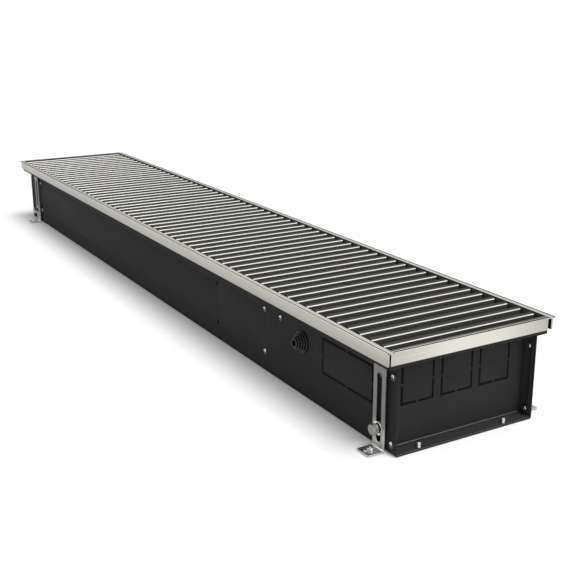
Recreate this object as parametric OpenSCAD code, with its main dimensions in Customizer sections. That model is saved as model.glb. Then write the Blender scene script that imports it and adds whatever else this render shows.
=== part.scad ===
// Trench convector heater: a folded sheet-metal casing with recessed end panels, a four-piece trim
// frame, a roll-up grille of cross bars, slotted floor feet, a finned heat exchanger and a
// cross-flow fan.
// Lengths are in millimetres. X runs along the heater towards its connection end, Y across it,
// Z up. The origin is on the floor, in the middle of the outer box.

/* [Casing] */
// Length of the folded casing
casing_l = 1490; // [1400:10:1900]
// Width over the side walls of the casing
casing_w = 215; // [210:1:240]
// Height from the floor to the top of the trim frame
total_h = 137; // [134:1:150]
// Thickness of the casing sheet
sheet_t = 1.2; // [1:0.1:1.4]
// Inner radius of the folds in the sheet
fold_r = 1; // [0.6:0.1:1.4]
// How far the end panels lie inside the ends of the side walls
panel_recess = 22; // [20:0.5:26]
// Height of the upright lip on the ledge
lip_h = 12; // [8:0.5:14]

/* [Knock-outs] */
// Length of the knock-out in each side wall
side_knock_l = 114.5; // [80:0.5:120]
// Height of the knock-outs in the side walls
side_knock_h = 50.5; // [35:0.5:53]
// Height of the knock-outs in the end panels
end_knock_h = 53.5; // [40:0.5:56]
// Width of the knock-outs in the end panels
end_knock_w = 50; // [30:1:54]
// Spacing of the knock-outs in the end panels
end_knock_pitch = 60.3; // [56:0.1:64]
// Width of the knock-out slits
slit_w = 3.2; // [2:0.1:3.6]
// Width of the bridges that hold a knock-out
bridge_w = 3; // [2:0.5:5]

/* [Trim frame] */
// Overhang of the frame past the side walls
side_over = 21.5; // [19:0.5:24]
// Overhang of the frame past the ends of the casing
end_over = 7; // [7:0.5:9]
// Width of the frame seen from above
trim_w = 9; // [8.5:0.5:10.5]
// Height of the frame's outer leg
trim_leg_h = 17.3; // [15:0.1:18.5]
// Thickness of the top of the frame
trim_top_t = 1.8; // [1.4:0.1:2.2]
// Thickness of the frame's outer leg
trim_leg_t = 2.4; // [1:0.1:2.6]
// Thickness of the frame's inner leg
trim_inner_t = 1.5; // [1.2:0.1:1.6]
// Overhang of the frame's top past its outer leg
trim_nose = 2; // [1.5:0.1:2.2]
// Gap at each corner between the long and the short outer legs
corner_gap = 3.3; // [2.6:0.1:4]

/* [Grille] */
// Distance from bar to bar
bar_pitch = 24.3; // [18:0.1:28]
// Width of a bar
bar_w = 10; // [8:0.5:11]
// Height of a bar
bar_h = 19; // [17:0.5:19]
// Wall thickness of a bar
bar_wall = 1.6; // [1.2:0.1:2]
// Radius of a bar's two upper edges
bar_edge_r = 2.6; // [1.5:0.1:3.5]
// Gap between the ends of a bar and the frame
bar_end_gap = 2.5; // [1.5:0.1:4]
// Diameter of the two wires that string the bars
wire_d = 3.2; // [2.6:0.1:4]
// Distance between the two wires
wire_spacing = 150; // [120:1:170]
// Height of the soft strips under the bars
rest_h = 2.4; // [2:0.1:2.8]

/* [Feet] */
// Width of a foot bracket
foot_w = 24; // [20:0.5:28]
// Thickness of a foot bracket
foot_t = 2; // [1.5:0.1:3]
// Reach of a foot's tab over the floor
foot_reach = 25; // [24:0.5:27]
// Gap between the side wall and a foot bracket
foot_standoff = 3.5; // [3:0.1:4]
// Diameter of the clamp bolts
bolt_d = 8; // [6:0.5:8]
// Width across the flats of the clamp bolts
bolt_af = 13; // [12:0.5:13.5]
// Height of a clamp bolt's head
bolt_head_h = 6.8; // [5:0.1:7]
// Height of the clamp bolts above the floor
bolt_z = 28; // [26:0.5:34]
// Diameter of the levelling screws at the ends
level_d = 6; // [5:0.5:6]
// Length of the levelling screws
level_l = 10; // [9:0.5:14]

/* [Heat exchanger] */
// Width of the fin block
fins_w = 118; // [112:1:120]
// Height of the fin block
fins_h = 66; // [60:1:68]
// Spacing of the fins
fin_pitch = 8; // [7:0.5:12]
// Thickness of a fin
fin_t = 0.5; // [0.4:0.1:0.8]
// Outer diameter of the copper tubes
tube_d = 15; // [12:0.5:16]
// Wall thickness of the copper tubes
tube_wall = 0.8; // [0.7:0.1:1.2]
// Distance between the two upright rows of tubes
tube_spacing_y = 60; // [52:1:64]
// Distance between the lower and the upper tubes
tube_spacing_z = 38; // [36:0.5:40]
// Diameter of the bore for the half-inch pipe thread
pipe_bore_d = 18.6; // [16:0.1:19]

/* [Fan] */
// Diameter of the impeller
impeller_d = 54; // [48:1:56]
// Number of impeller blades
blade_n = 20; // [16:1:26]
// Number of impeller sections between the discs
section_n = 5; // [4:1:6]
// Diameter of the fan shaft
shaft_d = 8; // [6:0.5:9]
// Diameter of the fan motor
motor_d = 58; // [50:1:62]

/* [Electrics] */
// Outer diameter of the stepped cable gland
gland_d = 31; // [30:0.5:34]
// How far the gland stands out of the wall
gland_out = 15; // [12:0.5:18]
// Diameter of the cable hole in the gland
gland_bore_d = 10; // [6:0.5:12]
// Length of the terminal box
box_l = 100; // [80:1:110]
// Width of the terminal box
box_w = 70; // [60:1:74]
// Height of the terminal box without its lid
box_h = 40; // [32:1:50]

/* [Hidden] */
$fn = 48;

// Overrun of every cut, the play of a shaft in its bore, and the play of a part laid in place
over = 1;
run_play = 0.05;
lay_play = 0.1;
fold_steps = 4;

// Heights and planes of the casing, from the grille down
grille_sink = 0.6;
ledge_top = total_h - grille_sink - bar_h - rest_h;
ledge_under = ledge_top - sheet_t;
wall_out = casing_w / 2;
wall_in = wall_out - sheet_t;
frame_half_w = wall_out + side_over;
frame_half_l = casing_l / 2 + end_over;
lip_play = 0.4;
lip_relief = 1;
lip_out_y = frame_half_w - trim_nose - trim_leg_t - lip_play;
lip_out_x = frame_half_l - trim_nose - trim_leg_t - lip_play;
lip_top = ledge_top + lip_h;
panel_out = casing_l / 2 - panel_recess;
panel_in = panel_out - sheet_t;
clear_inside = wall_in - fold_r - lay_play;

// Knock-outs, measured from the ledge and the end panel, and the sheets that seal them inside
side_knock_drop = 13.4;
side_knock_top = ledge_under - side_knock_drop;
side_knock_low = side_knock_top - side_knock_h;
end_knock_drop = 7.8;
end_knock_top = ledge_under - end_knock_drop;
end_knock_low = end_knock_top - end_knock_h;
end_knock_shift = 1.3;
side_knock_in = 25.8;
side_knock_x1 = panel_in - side_knock_in;
side_knock_x0 = side_knock_x1 - side_knock_l;
seal_t = 1.5;
seal_rim = 4;
spare_hole_d = 6;
spare_hole_in = 146.5;
spare_hole_drop = 1.5;

// Rivets through the side walls
rivet_d = 4.8;
rivet_play = 0.05;
rivet_head_d = 9.5;
rivet_head_h = 2.5;
rivet_tail_d = 6.8;
rivet_tail_h = 3;
rivet_pit_d = 2.6;
rivet_pit_h = 0.9;
rivet_drop = 19.3;
rivet_high = ledge_under - rivet_drop;
rivet_low_z = 30;
panel_rivet_in = 9;
panel_rivet_drop = 15.3;
panel_rivet_x = casing_l / 2 - panel_rivet_in;
panel_rivet_high = ledge_under - panel_rivet_drop;
panel_rivet_low = 12.5;
flange_w = 16;
panel_flange_end = 4;
flange_gap_z = 4;

// Plates across the casing: the partition ends the connection room, the carrier holds the far end
room_l = 322.5;
partition_x = casing_l / 2 - room_l;
carrier_in = 75;
carrier_x = -(casing_l / 2 - carrier_in);
cross_plate_gap = 3;
cross_plate_top = ledge_under - cross_plate_gap;
tube_hole_play = 0.2;
cable_hole_d = 16;
cable_hole_in = 24;
cable_hole_y = 12;

// Trim profile and the keys in its corners
trim_mark_w = 1;
trim_mark_h = 1;
trim_mark_in = 1.3;
trim_round_r = 0.5;
trim_inner_y = frame_half_w - trim_w;
trim_inner_x = frame_half_l - trim_w;
end_trim_shift = 2;
key_arm = 42;
key_h = 8;
key_play = 0.15;

// Soft guards that line the inside of the frame
guard_t = 1;
guard_play = 0.1;
guard_drop = 2.6;
guard_out = trim_inner_y - guard_play;
guard_top = total_h - guard_drop;

// Grille bars, counted from the length that the frame leaves free
grille_room = 2 * (trim_inner_x - guard_t - guard_play);
grille_back = 6;
bar_slack = 0.5;
wire_head_l = 1.2;
grille_spare = 2 * (grille_back + wire_head_l + bar_slack);
bar_count = floor((grille_room - bar_w - grille_spare) / bar_pitch) + 1;
bar_half_l = trim_inner_y - bar_end_gap;
bar_low = ledge_top + rest_h;
bar_first_x = -grille_back - (bar_count - 1) * bar_pitch / 2;
wire_rise = 7.5;
wire_z = bar_low + wire_rise;
wire_play = 0.3;
wire_head_d = 6.4;
sleeve_d = 7;
sleeve_play = 0.2;
rest_in = 1.5;
rest_end_gap = 2;
rest_groove = 0.8;

// Feet: places, slot, fasteners
foot_near_in = 5.8;
foot_near_x = panel_in - foot_near_in;
foot_rivet_in = 2;
foot_far_in = 62;
foot_far_x = -(casing_l / 2 - foot_far_in);
foot_top_gap = 5.8;
foot_top = ledge_under - foot_top_gap;
foot_fold_r = 2;
foot_in_y = wall_out + foot_standoff;
foot_out_y = foot_in_y + foot_t;
slot_play = 1;
slot_w = bolt_d + 2 * slot_play;
slot_low = 10;
slot_top_drop = 15;
slot_top = ledge_under - slot_top_drop;
foot_corner_r = 2.5;
anchor_hole_d = 5.5;
anchor_hole_in = 5;
foot_screw_d = 5;
foot_screw_in = 12.5;
foot_screw_head_d = 9;
foot_screw_head_h = 3.4;
socket_af = 4;
socket_deep = 2;
washer_d = 16;
washer_t = 1.6;
spring_washer_d = 12.8;
spring_washer_t = 2.2;
spring_washer_gap = 1.4;
nut_d = 11;
nut_h = 6.5;
bolt_spare = 0.6;
bolt_chamfer = 1.1;
backing_t = 2;
backing_w = 26;
backing_low = 21;
backing_top_gap = 10.8;
backing_top = ledge_under - backing_top_gap;
backing_side = 5.5;
hole_play = 0.3;
level_in = 5;
level_y = 67;
level_shift = 3;
level_places = [-level_y - level_shift, level_y - level_shift];
level_slot_w = 1;
level_slot_h = 1.2;

// Heat exchanger
fins_y = -40;
fins_rise_share = 0.23176;
fins_low = sheet_t + fins_rise_share * (ledge_under - sheet_t - fins_h);
fins_mid_z = fins_low + fins_h / 2;
fins_gap = 12;
fins_x0 = carrier_x + flange_w;
fins_x1 = partition_x - fins_gap;
tube_play = 0.05;
collar_t = 0.6;
bend_gap = 9;
bend_x = -(panel_in - bend_gap - tube_d / 2 - tube_spacing_y / 2);
tube_end_in = 46;
tube_end_x = partition_x + tube_end_in;
socket_l = 12;
connector_l = 42;
connector_hex_af = 27;
connector_hex_l = 16;
connector_d = 26;
pipe_bore_l = 15;
bend_socket_t = 1.2;
vent_d = 10;
vent_h = 16;
vent_sink = 2;
vent_step_d = 7.6;
vent_step_h = 4;
vent_bore_d = 4;
vent_bore_h = 9;
vent_screw_head_d = 7;
vent_screw_head_h = 3.6;
vent_screw_gap = 0.4;
vent_x_in = 9;

// Fan
fan_y = 62;
fan_z = 48;
fan_plate_t = 1.5;
fan_far_gap = 31;
fan_near_gap = 92;
fan_x0 = carrier_x + fan_far_gap;
fan_x1 = partition_x - fan_near_gap;
fan_air_gap = 9;
impeller_x0 = fan_x0 + fan_plate_t + fan_air_gap;
impeller_x1 = fan_x1 - fan_air_gap;
disc_t = 1.5;
blade_t = 0.8;
blade_in_share = 0.74;
blade_lean = 26;
blade_steps = 3;
scroll_near = 2.6;
scroll_far = 10;
scroll_from = 40;
scroll_to = -120;
scroll_steps = 14;
scroll_t = 1;
outlet_y = 24;
outlet_z = 12;
inlet_y = 92;
inlet_z = 84;
tongue_from = 168;
tongue_to = 192;
tongue_lip_y = 25.5;
tongue_lip_z = 66;
fan_plate_y0 = 23;
fan_plate_y1 = 102;
fan_plate_top = 87;
bearing_d = 22;
bearing_l = 10;
bearing_flange_d = 27;
bearing_flange_t = 1.5;
motor_l = 56;
motor_boss_d = 34;
motor_boss_l = 12;
motor_rib_n = 12;
motor_rib_w = 2;
motor_rib_h = 1.5;
shaft_bore_l = 18;
shaft_gap = 1;

// Electrics
gland_in = 213;
gland_x = casing_l / 2 - gland_in;
gland_drop = 35.8;
gland_z = ledge_under - gland_drop;
gland_steps = 5;
gland_tip_share = 0.44;
gland_neck_d = 24;
gland_inner_d = 29;
gland_inner_t = 2.4;
saddle_in = 53;
saddle_x = partition_x + saddle_in;
saddle_w = 16;
saddle_arm = 15;
saddle_slot_w = 3;
saddle_slot_l = 8;
box_wall = 2;
box_corner_r = 4;
box_in = 82;
box_x = panel_in - box_in;
box_y = 58;
box_pillar_d = 8;
box_screw_d = 3.6;
box_hole_d = 14;
lid_t = 2.4;
lid_rim_h = 3;
lid_rim_t = 1.6;
lid_play = 0.2;
box_screw_head_d = 6.6;
box_screw_head_h = 2.2;
box_screw_l = 14;

// Geometry helpers
function unit(v) = v / norm(v);
function left_of(v) = [-v[1], v[0]];
function turned(v, a) = [v[0] * cos(a) - v[1] * sin(a), v[0] * sin(a) + v[1] * cos(a)];
function reversed(v) = [for (i = [len(v) - 1 : -1 : 0]) v[i]];
function polar(r, a) = [r * cos(a), r * sin(a)];

// One edge of a bent strip round the fold at b, at distance off to the left of the path
function fold_points(a, b, c, off, r, n) =
    let (
        d1 = unit(b - a),
        d2 = unit(c - b),
        bend = d1[0] * d2[1] - d1[1] * d2[0],
        way = sign(bend),
        turn = atan2(bend, d1 * d2),
        centre = b - d1 * r * tan(abs(turn) / 2) + left_of(d1) * way * r
    )
    [for (i = [0 : n]) centre + turned(-left_of(d1) * way, turn * i / n) * (r - way * off)];

function strip_edge(p, off, r, n) = [
    for (i = [0 : len(p) - 1]) each (
        i == 0 ? [p[0] + left_of(unit(p[1] - p[0])) * off]
        : i == len(p) - 1 ? [p[i] + left_of(unit(p[i] - p[i - 1])) * off]
        : fold_points(p[i - 1], p[i], p[i + 1], off, r, n)
    )
];

// Outline of a sheet of thickness t that follows the path p through its middle
function strip(p, t, r, n) =
    concat(strip_edge(p, t / 2, r + t / 2, n), reversed(strip_edge(p, -t / 2, r + t / 2, n)));

// A profile drawn in Y and Z, pushed along X from x0 to x1
module along_x(x0, x1) {
    translate([x0, 0, 0]) rotate([90, 0, 90]) linear_extrude(height = x1 - x0) children();
}

// A profile drawn in X and Z, pushed along Y from y0 to y1
module along_y(y0, y1) {
    translate([0, y1, 0]) rotate([90, 0, 0]) linear_extrude(height = y1 - y0) children();
}

module block(lo, hi) {
    translate(lo) cube(hi - lo);
}

// Round bar along X, Y or Z from a start point
module rod_x(p, l, d) {
    translate(p) rotate([0, 90, 0]) cylinder(h = l, d = d);
}

// Tube along X, turned in one piece
module tube_x(p, l, d, bore) {
    translate(p) rotate([0, 90, 0]) rotate_extrude() translate([bore / 2, 0]) square([(d - bore) / 2, l]);
}

module rod_y(p, l, d) {
    translate(p) rotate([-90, 0, 0]) cylinder(h = l, d = d);
}

module rod_z(p, l, d) {
    translate(p) cylinder(h = l, d = d);
}

// Hexagonal bar along Y, with its flats upright
module hex_y(p, l, af) {
    translate(p) rotate([-90, 0, 0]) rotate([0, 0, 30]) cylinder(h = l, r = af / 2 / cos(30), $fn = 6);
}

module front_and_back() {
    children();
    mirror([0, 1, 0]) children();
}

module near_and_far() {
    children();
    mirror([1, 0, 0]) children();
}

// Casing
module wall_holes() {
    for (s = rivet_spots) wall_bore(s[0], s[1], rivet_d + 2 * rivet_play, s[3]);
    for (x = [foot_near_x, foot_far_x]) wall_bore(x, bolt_z, bolt_d + 2 * hole_play, "both");
    for (z = [rivet_high - spare_hole_drop, rivet_low_z - spare_hole_drop]) {
        wall_bore(partition_x - spare_hole_in, z, spare_hole_d, "both");
    }
}

// Bore through the front wall, or through both side walls
module wall_bore(x, z, d, side) {
    rod_y([x, -wall_out - over, z], sheet_t + 2 * over, d);
    if (side == "both") rod_y([x, wall_in - over, z], sheet_t + 2 * over, d);
}

// Slits of one knock-out, drawn flat: u along, v up
module knock_slits(u0, u1, v0, v1) {
    um = (u0 + u1) / 2;
    vm = (v0 + v1) / 2;
    difference() {
        translate([u0, v0]) square([u1 - u0, v1 - v0]);
        translate([u0 + slit_w, v0 + slit_w]) square([u1 - u0 - 2 * slit_w, v1 - v0 - 2 * slit_w]);
        translate([um - bridge_w / 2, v0 - over]) square([bridge_w, v1 - v0 + 2 * over]);
        translate([u0 - over, vm - bridge_w / 2]) square([u1 - u0 + 2 * over, bridge_w]);
    }
}

module trough() {
    mid = sheet_t / 2;
    path = [
        [-lip_out_y + mid, lip_top], [-lip_out_y + mid, ledge_top - mid],
        [-wall_out + mid, ledge_top - mid], [-wall_out + mid, mid],
        [wall_out - mid, mid], [wall_out - mid, ledge_top - mid],
        [lip_out_y - mid, ledge_top - mid], [lip_out_y - mid, lip_top]
    ];
    color("#303030") difference() {
        along_x(-casing_l / 2, casing_l / 2) polygon(strip(path, sheet_t, fold_r, fold_steps));
        wall_holes();
        front_and_back() along_y(-wall_out - over, -wall_in + over) {
            knock_slits(side_knock_x0, side_knock_x1, side_knock_low, side_knock_top);
        }
        wall_bore(gland_x, gland_z, gland_neck_d + 2 * lay_play, "front");
        near_and_far() for (y = level_places) {
            rod_z([casing_l / 2 - level_in, y, -over], sheet_t + 2 * over, level_d + 2 * run_play);
        }
    }
}

// End panel for the +X end: a pan whose flanges turn outwards, with the ledge and lip on top
module end_panel() {
    mid = sheet_t / 2;
    path = [
        [lip_out_x - mid, lip_top], [lip_out_x - mid, ledge_top - mid],
        [panel_out - mid, ledge_top - mid], [panel_out - mid, sheet_t + mid],
        [casing_l / 2 - lay_play, sheet_t + mid]
    ];
    lip_half = lip_out_y - sheet_t - lay_play - lip_relief;
    low = sheet_t + flange_gap_z;
    high = ledge_under - flange_gap_z;
    color("#303030") difference() {
        union() {
            along_y(-clear_inside, clear_inside) polygon(strip(path, sheet_t, fold_r, fold_steps));
            front_and_back() {
                block([panel_in, clear_inside - over, low], [panel_out, wall_in, high]);
                block([panel_in, wall_in - sheet_t, low],
                    [casing_l / 2 - panel_flange_end, wall_in, high]);
                block([lip_out_x - sheet_t, clear_inside - over, ledge_under],
                    [lip_out_x, lip_half, lip_top]);
                block([casing_l / 2 + lay_play, clear_inside - over, ledge_under],
                    [lip_out_x, lip_half, ledge_top]);
            }
        }
        for (i = [-1 : 1]) {
            y = i * end_knock_pitch - end_knock_shift;
            along_x(panel_in - over, panel_out + over) {
                knock_slits(y - end_knock_w / 2, y + end_knock_w / 2, end_knock_low, end_knock_top);
            }
        }
        for (y = level_places) {
            rod_z([casing_l / 2 - level_in, y, -over], ledge_under, level_d + 2 * run_play);
        }
        front_and_back() {
            for (z = [panel_rivet_high, panel_rivet_low]) {
                rod_y([panel_rivet_x, wall_in - sheet_t - over, z], sheet_t + 2 * over,
                    rivet_d + 2 * rivet_play);
            }
        }
    }
}

// Soft black sheets glued inside, behind the knock-outs, so that their slits stay shut
module knock_out_seals() {
    end_half = end_knock_pitch + end_knock_w / 2 + seal_rim;
    color("#161616") {
        front_and_back() block([side_knock_x0 - seal_rim, -wall_in, side_knock_low - seal_rim],
            [side_knock_x1 + seal_rim, -wall_in + seal_t, side_knock_top + seal_rim]);
        near_and_far() block(
            [panel_in - seal_t, -end_half - end_knock_shift, end_knock_low - seal_rim],
            [panel_in, end_half - end_knock_shift, end_knock_top + seal_rim]);
    }
}

module end_panel_near() {
    end_panel();
}

module end_panel_far() {
    mirror([1, 0, 0]) end_panel();
}

// Rivets: place along X, height, thickness of the sheet behind the wall, and the walls they are in
rivet_spots = concat(
    [
        for (x = [-panel_rivet_x, panel_rivet_x]) each [
            for (z = [panel_rivet_low, panel_rivet_high]) [x, z, sheet_t, "both"]
        ]
    ],
    [
        for (x = [carrier_x, partition_x]) each [
            for (z = [rivet_low_z, rivet_high]) [x + flange_w / 2, z, sheet_t, "both"]
        ]
    ],
    [for (x = [foot_near_x, foot_far_x]) [x - foot_rivet_in, rivet_high, backing_t, "both"]],
    [[saddle_x, rivet_high, sheet_t, "front"]]
);

// One blind rivet in the front wall, with its domed head outside
module rivet(x, z, t) {
    head_r = rivet_head_d / 2;
    rim = rivet_head_h / 3;
    translate([x, -wall_out, z]) rotate([90, 0, 0]) difference() {
        rotate_extrude() polygon(concat(
            [[0, -sheet_t - t - rivet_tail_h], [rivet_tail_d / 2 - rim, -sheet_t - t - rivet_tail_h],
                [rivet_tail_d / 2, -sheet_t - t - rim], [rivet_tail_d / 2, -sheet_t - t],
                [rivet_d / 2, -sheet_t - t], [rivet_d / 2, 0], [head_r, 0], [head_r, rim]],
            [for (a = [30 : 30 : 90]) [head_r * cos(a), rim + (rivet_head_h - rim) * sin(a)]]
        ));
        translate([0, 0, rivet_head_h - rivet_pit_h]) cylinder(h = over + rivet_pit_h, d = rivet_pit_d);
    }
}

module blind_rivets() {
    color("#b9bab8") for (s = rivet_spots) {
        rivet(s[0], s[1], s[2]);
        if (s[3] == "both") mirror([0, 1, 0]) rivet(s[0], s[1], s[2]);
    }
}

// Trim frame: u is the distance from the frame's outer edge, v the height
module trim_profile() {
    low = ledge_top;
    leg_low = total_h - trim_leg_h;
    under = total_h - trim_top_t;
    r = trim_round_r;
    difference() {
        polygon(concat(
            [[trim_nose, leg_low], [trim_nose + trim_leg_t, leg_low], [trim_nose + trim_leg_t, under],
                [trim_w - trim_inner_t, under], [trim_w - trim_inner_t, low], [trim_w, low]],
            [for (i = [0 : fold_steps]) [trim_w - r, total_h - r] + polar(r, 90 * i / fold_steps)],
            [for (i = [0 : fold_steps]) [r, total_h - r] + polar(r, 90 + 90 * i / fold_steps)],
            [[0, under], [trim_nose, under]]
        ));
        translate([trim_mark_in - trim_mark_w / 2, total_h - trim_mark_h]) {
            square([trim_mark_w, trim_mark_h + over]);
        }
    }
}

// Long profile: its top runs the full length, its outer leg ends in the plane of the short legs,
// and its inner leg stops at the short profiles
module trim_side() {
    under = total_h - trim_top_t;
    color("#b4b3ae") difference() {
        along_x(-frame_half_l, frame_half_l) translate([-frame_half_w, 0]) trim_profile();
        near_and_far() {
            block([frame_half_l - trim_nose, -frame_half_w - over, 0],
                [frame_half_l + over, -trim_inner_y + over, under]);
            block([trim_inner_x - lay_play, -frame_half_w + trim_nose + trim_leg_t, 0],
                [frame_half_l + over, -trim_inner_y + over, under]);
        }
    }
}

module trim_side_front() {
    trim_side();
}

module trim_side_back() {
    mirror([0, 1, 0]) trim_side();
}

// Short profile for the +X end: its top fits between the long ones, its leg reaches further out
module trim_end(shift) {
    leg_half = frame_half_w - trim_nose - trim_leg_t - corner_gap;
    top_half = trim_inner_y - lay_play;
    color("#c9c8c3") difference() {
        along_y(-leg_half - shift, leg_half - shift) {
            translate([frame_half_l, 0]) mirror([1, 0]) trim_profile();
        }
        front_and_back() {
            block([0, top_half, total_h - trim_top_t], [frame_half_l + over, frame_half_w, total_h + over]);
            block([0, top_half, 0],
                [frame_half_l - trim_nose - trim_leg_t, frame_half_w, total_h + over]);
        }
    }
}

module trim_end_near() {
    trim_end(end_trim_shift);
}

module trim_end_far() {
    mirror([1, 0, 0]) trim_end(0);
}

// Angle keys that join the profiles, between the inner legs and the lips
module trim_corner_keys() {
    top = total_h - trim_top_t;
    y0 = trim_inner_y + trim_inner_t + key_play;
    y1 = lip_out_y - sheet_t - key_play;
    x0 = trim_inner_x + trim_inner_t + key_play;
    x1 = lip_out_x - sheet_t - key_play;
    color("#8f9092") near_and_far() front_and_back() {
        block([x1 - key_arm, y0, top - key_h], [x1, y1, top]);
        block([x0, y1 - key_arm, top - key_h], [x1, y1, top]);
    }
}

// Grille
module grille_rest() {
    y0 = wall_out + rest_in;
    y1 = guard_out;
    x1 = trim_inner_x - rest_end_gap;
    w = (y1 - guard_t - y0) / 3;
    g = rest_groove;
    top = ledge_top + rest_h;
    color("#1c1c1c") along_x(-x1, x1) polygon([
        [y0, ledge_top], [y1, ledge_top], [y1, guard_top], [y1 - guard_t, guard_top],
        [y1 - guard_t, top], [y0 + 2 * w + g, top], [y0 + 2 * w, top - g], [y0 + 2 * w - g, top],
        [y0 + w + g, top], [y0 + w, top - g], [y0 + w - g, top], [y0, top]
    ]);
}

module grille_rest_front() {
    mirror([0, 1, 0]) grille_rest();
}

module grille_rest_back() {
    grille_rest();
}

// Upright guard that lines the short profile at the +X end
module end_guard() {
    x1 = trim_inner_x - guard_play;
    half = trim_inner_y - rest_end_gap;
    color("#1c1c1c") block([x1 - guard_t, -half, ledge_top], [x1, half, guard_top]);
}

module end_guard_near() {
    end_guard();
}

module end_guard_far() {
    mirror([1, 0, 0]) end_guard();
}

// Bar profile drawn in X and Z from its lower left corner
module bar_profile() {
    r = bar_edge_r;
    w = bar_wall;
    difference() {
        polygon(concat(
            [[0, 0], [bar_w, 0]],
            [for (i = [0 : fold_steps]) [bar_w - r, bar_h - r] + polar(r, 90 * i / fold_steps)],
            [for (i = [0 : fold_steps]) [r, bar_h - r] + polar(r, 90 + 90 * i / fold_steps)]
        ));
        translate([w, w]) square([bar_w - 2 * w, bar_h - bar_edge_r - 2 * w + w]);
    }
}

module grille_bars() {
    color("#a9a9a6") for (i = [0 : bar_count - 1]) {
        x = bar_first_x + i * bar_pitch - bar_w / 2;
        difference() {
            along_y(-bar_half_l, bar_half_l) translate([x, bar_low]) bar_profile();
            for (y = [-wire_spacing / 2, wire_spacing / 2]) {
                rod_x([x - over, y, wire_z], bar_w + 2 * over, wire_d + 2 * wire_play);
            }
        }
    }
}

module grille_wires() {
    x0 = bar_first_x - bar_w / 2;
    l = (bar_count - 1) * bar_pitch + bar_w;
    color("#9b9c9c") for (y = [-wire_spacing / 2, wire_spacing / 2]) {
        rod_x([x0 - wire_head_l, y, wire_z], l + 2 * wire_head_l, wire_d);
        rod_x([x0 - wire_head_l, y, wire_z], wire_head_l, wire_head_d);
        rod_x([x0 + l, y, wire_z], wire_head_l, wire_head_d);
    }
}

module grille_sleeves() {
    color("#242424") for (i = [0 : bar_count - 2]) {
        x = bar_first_x + i * bar_pitch + bar_w / 2;
        for (y = [-wire_spacing / 2, wire_spacing / 2]) {
            tube_x([x, y, wire_z], bar_pitch - bar_w, sleeve_d, wire_d + 2 * sleeve_play);
        }
    }
}

// Feet: one bracket at the front wall, centred at x
module foot_bracket(x) {
    mid = foot_t / 2;
    path = [
        [-foot_in_y - mid, foot_top], [-foot_in_y - mid, mid], [-foot_in_y - foot_reach, mid]
    ];
    end_y = foot_in_y + foot_reach;
    r = slot_w / 2;
    color("#8c8c87") difference() {
        along_x(x - foot_w / 2, x + foot_w / 2) polygon(strip(path, foot_t, foot_fold_r, fold_steps));
        for (z = [slot_low + r, slot_top - r]) {
            rod_y([x, -foot_out_y - over, z], foot_t + 2 * over, slot_w);
        }
        block([x - r, -foot_out_y - over, slot_low + r], [x + r, -foot_in_y + over, slot_top - r]);
        rod_z([x, -end_y + anchor_hole_in, -over], foot_t + 2 * over, anchor_hole_d);
        rod_z([x, -end_y + foot_screw_in, -over], foot_t + 2 * over, foot_screw_d + 2 * lay_play);
        for (s = [-1, 1]) translate([x + s * foot_w / 2, -end_y, -over]) foot_corner_cut(s);
    }
}

// What rounds off one corner of a foot's tab
module foot_corner_cut(s) {
    r = foot_corner_r;
    difference() {
        translate([s > 0 ? -r : -over, -over, 0]) cube([r + over, r + over, foot_t + 2 * over]);
        translate([-s * r, r, -over]) cylinder(h = foot_t + 4 * over, r = r);
    }
}

module foot_near_front() {
    foot_bracket(foot_near_x);
}

module foot_near_back() {
    mirror([0, 1, 0]) foot_bracket(foot_near_x);
}

module foot_far_front() {
    foot_bracket(foot_far_x);
}

module foot_far_back() {
    mirror([0, 1, 0]) foot_bracket(foot_far_x);
}

// Socket-head screw that stands in a foot's tab
module foot_screw(x) {
    y = -(foot_in_y + foot_reach - foot_screw_in);
    color("#b4b4ae") difference() {
        union() {
            rod_z([x, y, 0], foot_t + over, foot_screw_d);
            rod_z([x, y, foot_t], foot_screw_head_h, foot_screw_head_d);
        }
        translate([x, y, foot_t + foot_screw_head_h - socket_deep]) {
            cylinder(h = socket_deep + over, r = socket_af / 2 / cos(30), $fn = 6);
        }
    }
}

module foot_screw_near_front() {
    foot_screw(foot_near_x);
}

module foot_screw_near_back() {
    mirror([0, 1, 0]) foot_screw(foot_near_x);
}

module foot_screw_far_front() {
    foot_screw(foot_far_x);
}

module foot_screw_far_back() {
    mirror([0, 1, 0]) foot_screw(foot_far_x);
}

// What each clamp bolt needs is drawn at the front wall and repeated at all four feet
module at_feet() {
    for (x = [foot_near_x, foot_far_x]) front_and_back() translate([x, 0, bolt_z]) children();
}

bolt_head_y = foot_out_y + washer_t + spring_washer_t;
nut_in_y = wall_in - backing_t - nut_h;

module foot_bolts() {
    corner_r = bolt_af / 2 / cos(30);
    l = bolt_head_y - nut_in_y + bolt_spare;
    color("#a8a8a4") at_feet() {
        intersection() {
            hex_y([0, -bolt_head_y - bolt_head_h, 0], bolt_head_h, bolt_af);
            translate([0, -bolt_head_y - bolt_head_h, 0]) rotate([-90, 0, 0]) {
                cylinder(h = bolt_head_h, r1 = corner_r - bolt_chamfer,
                    r2 = corner_r - bolt_chamfer + 2 * bolt_head_h);
            }
        }
        rod_y([0, -bolt_head_y - over, 0], l + over, bolt_d);
    }
}

module ring_y(y0, l, d_out, d_in) {
    difference() {
        rod_y([0, y0, 0], l, d_out);
        rod_y([0, y0 - over, 0], l + 2 * over, d_in);
    }
}

module foot_washers() {
    color("#c4c4c0") at_feet() ring_y(-foot_out_y - washer_t, washer_t, washer_d, bolt_d + 2 * hole_play);
}

module foot_spring_washers() {
    color("#5c5c5a") at_feet() difference() {
        ring_y(-bolt_head_y, spring_washer_t, spring_washer_d, bolt_d + 2 * hole_play);
        block([-spring_washer_gap / 2, -bolt_head_y - over, 0],
            [spring_washer_gap / 2, -bolt_head_y + spring_washer_t + over, spring_washer_d]);
    }
}

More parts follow.
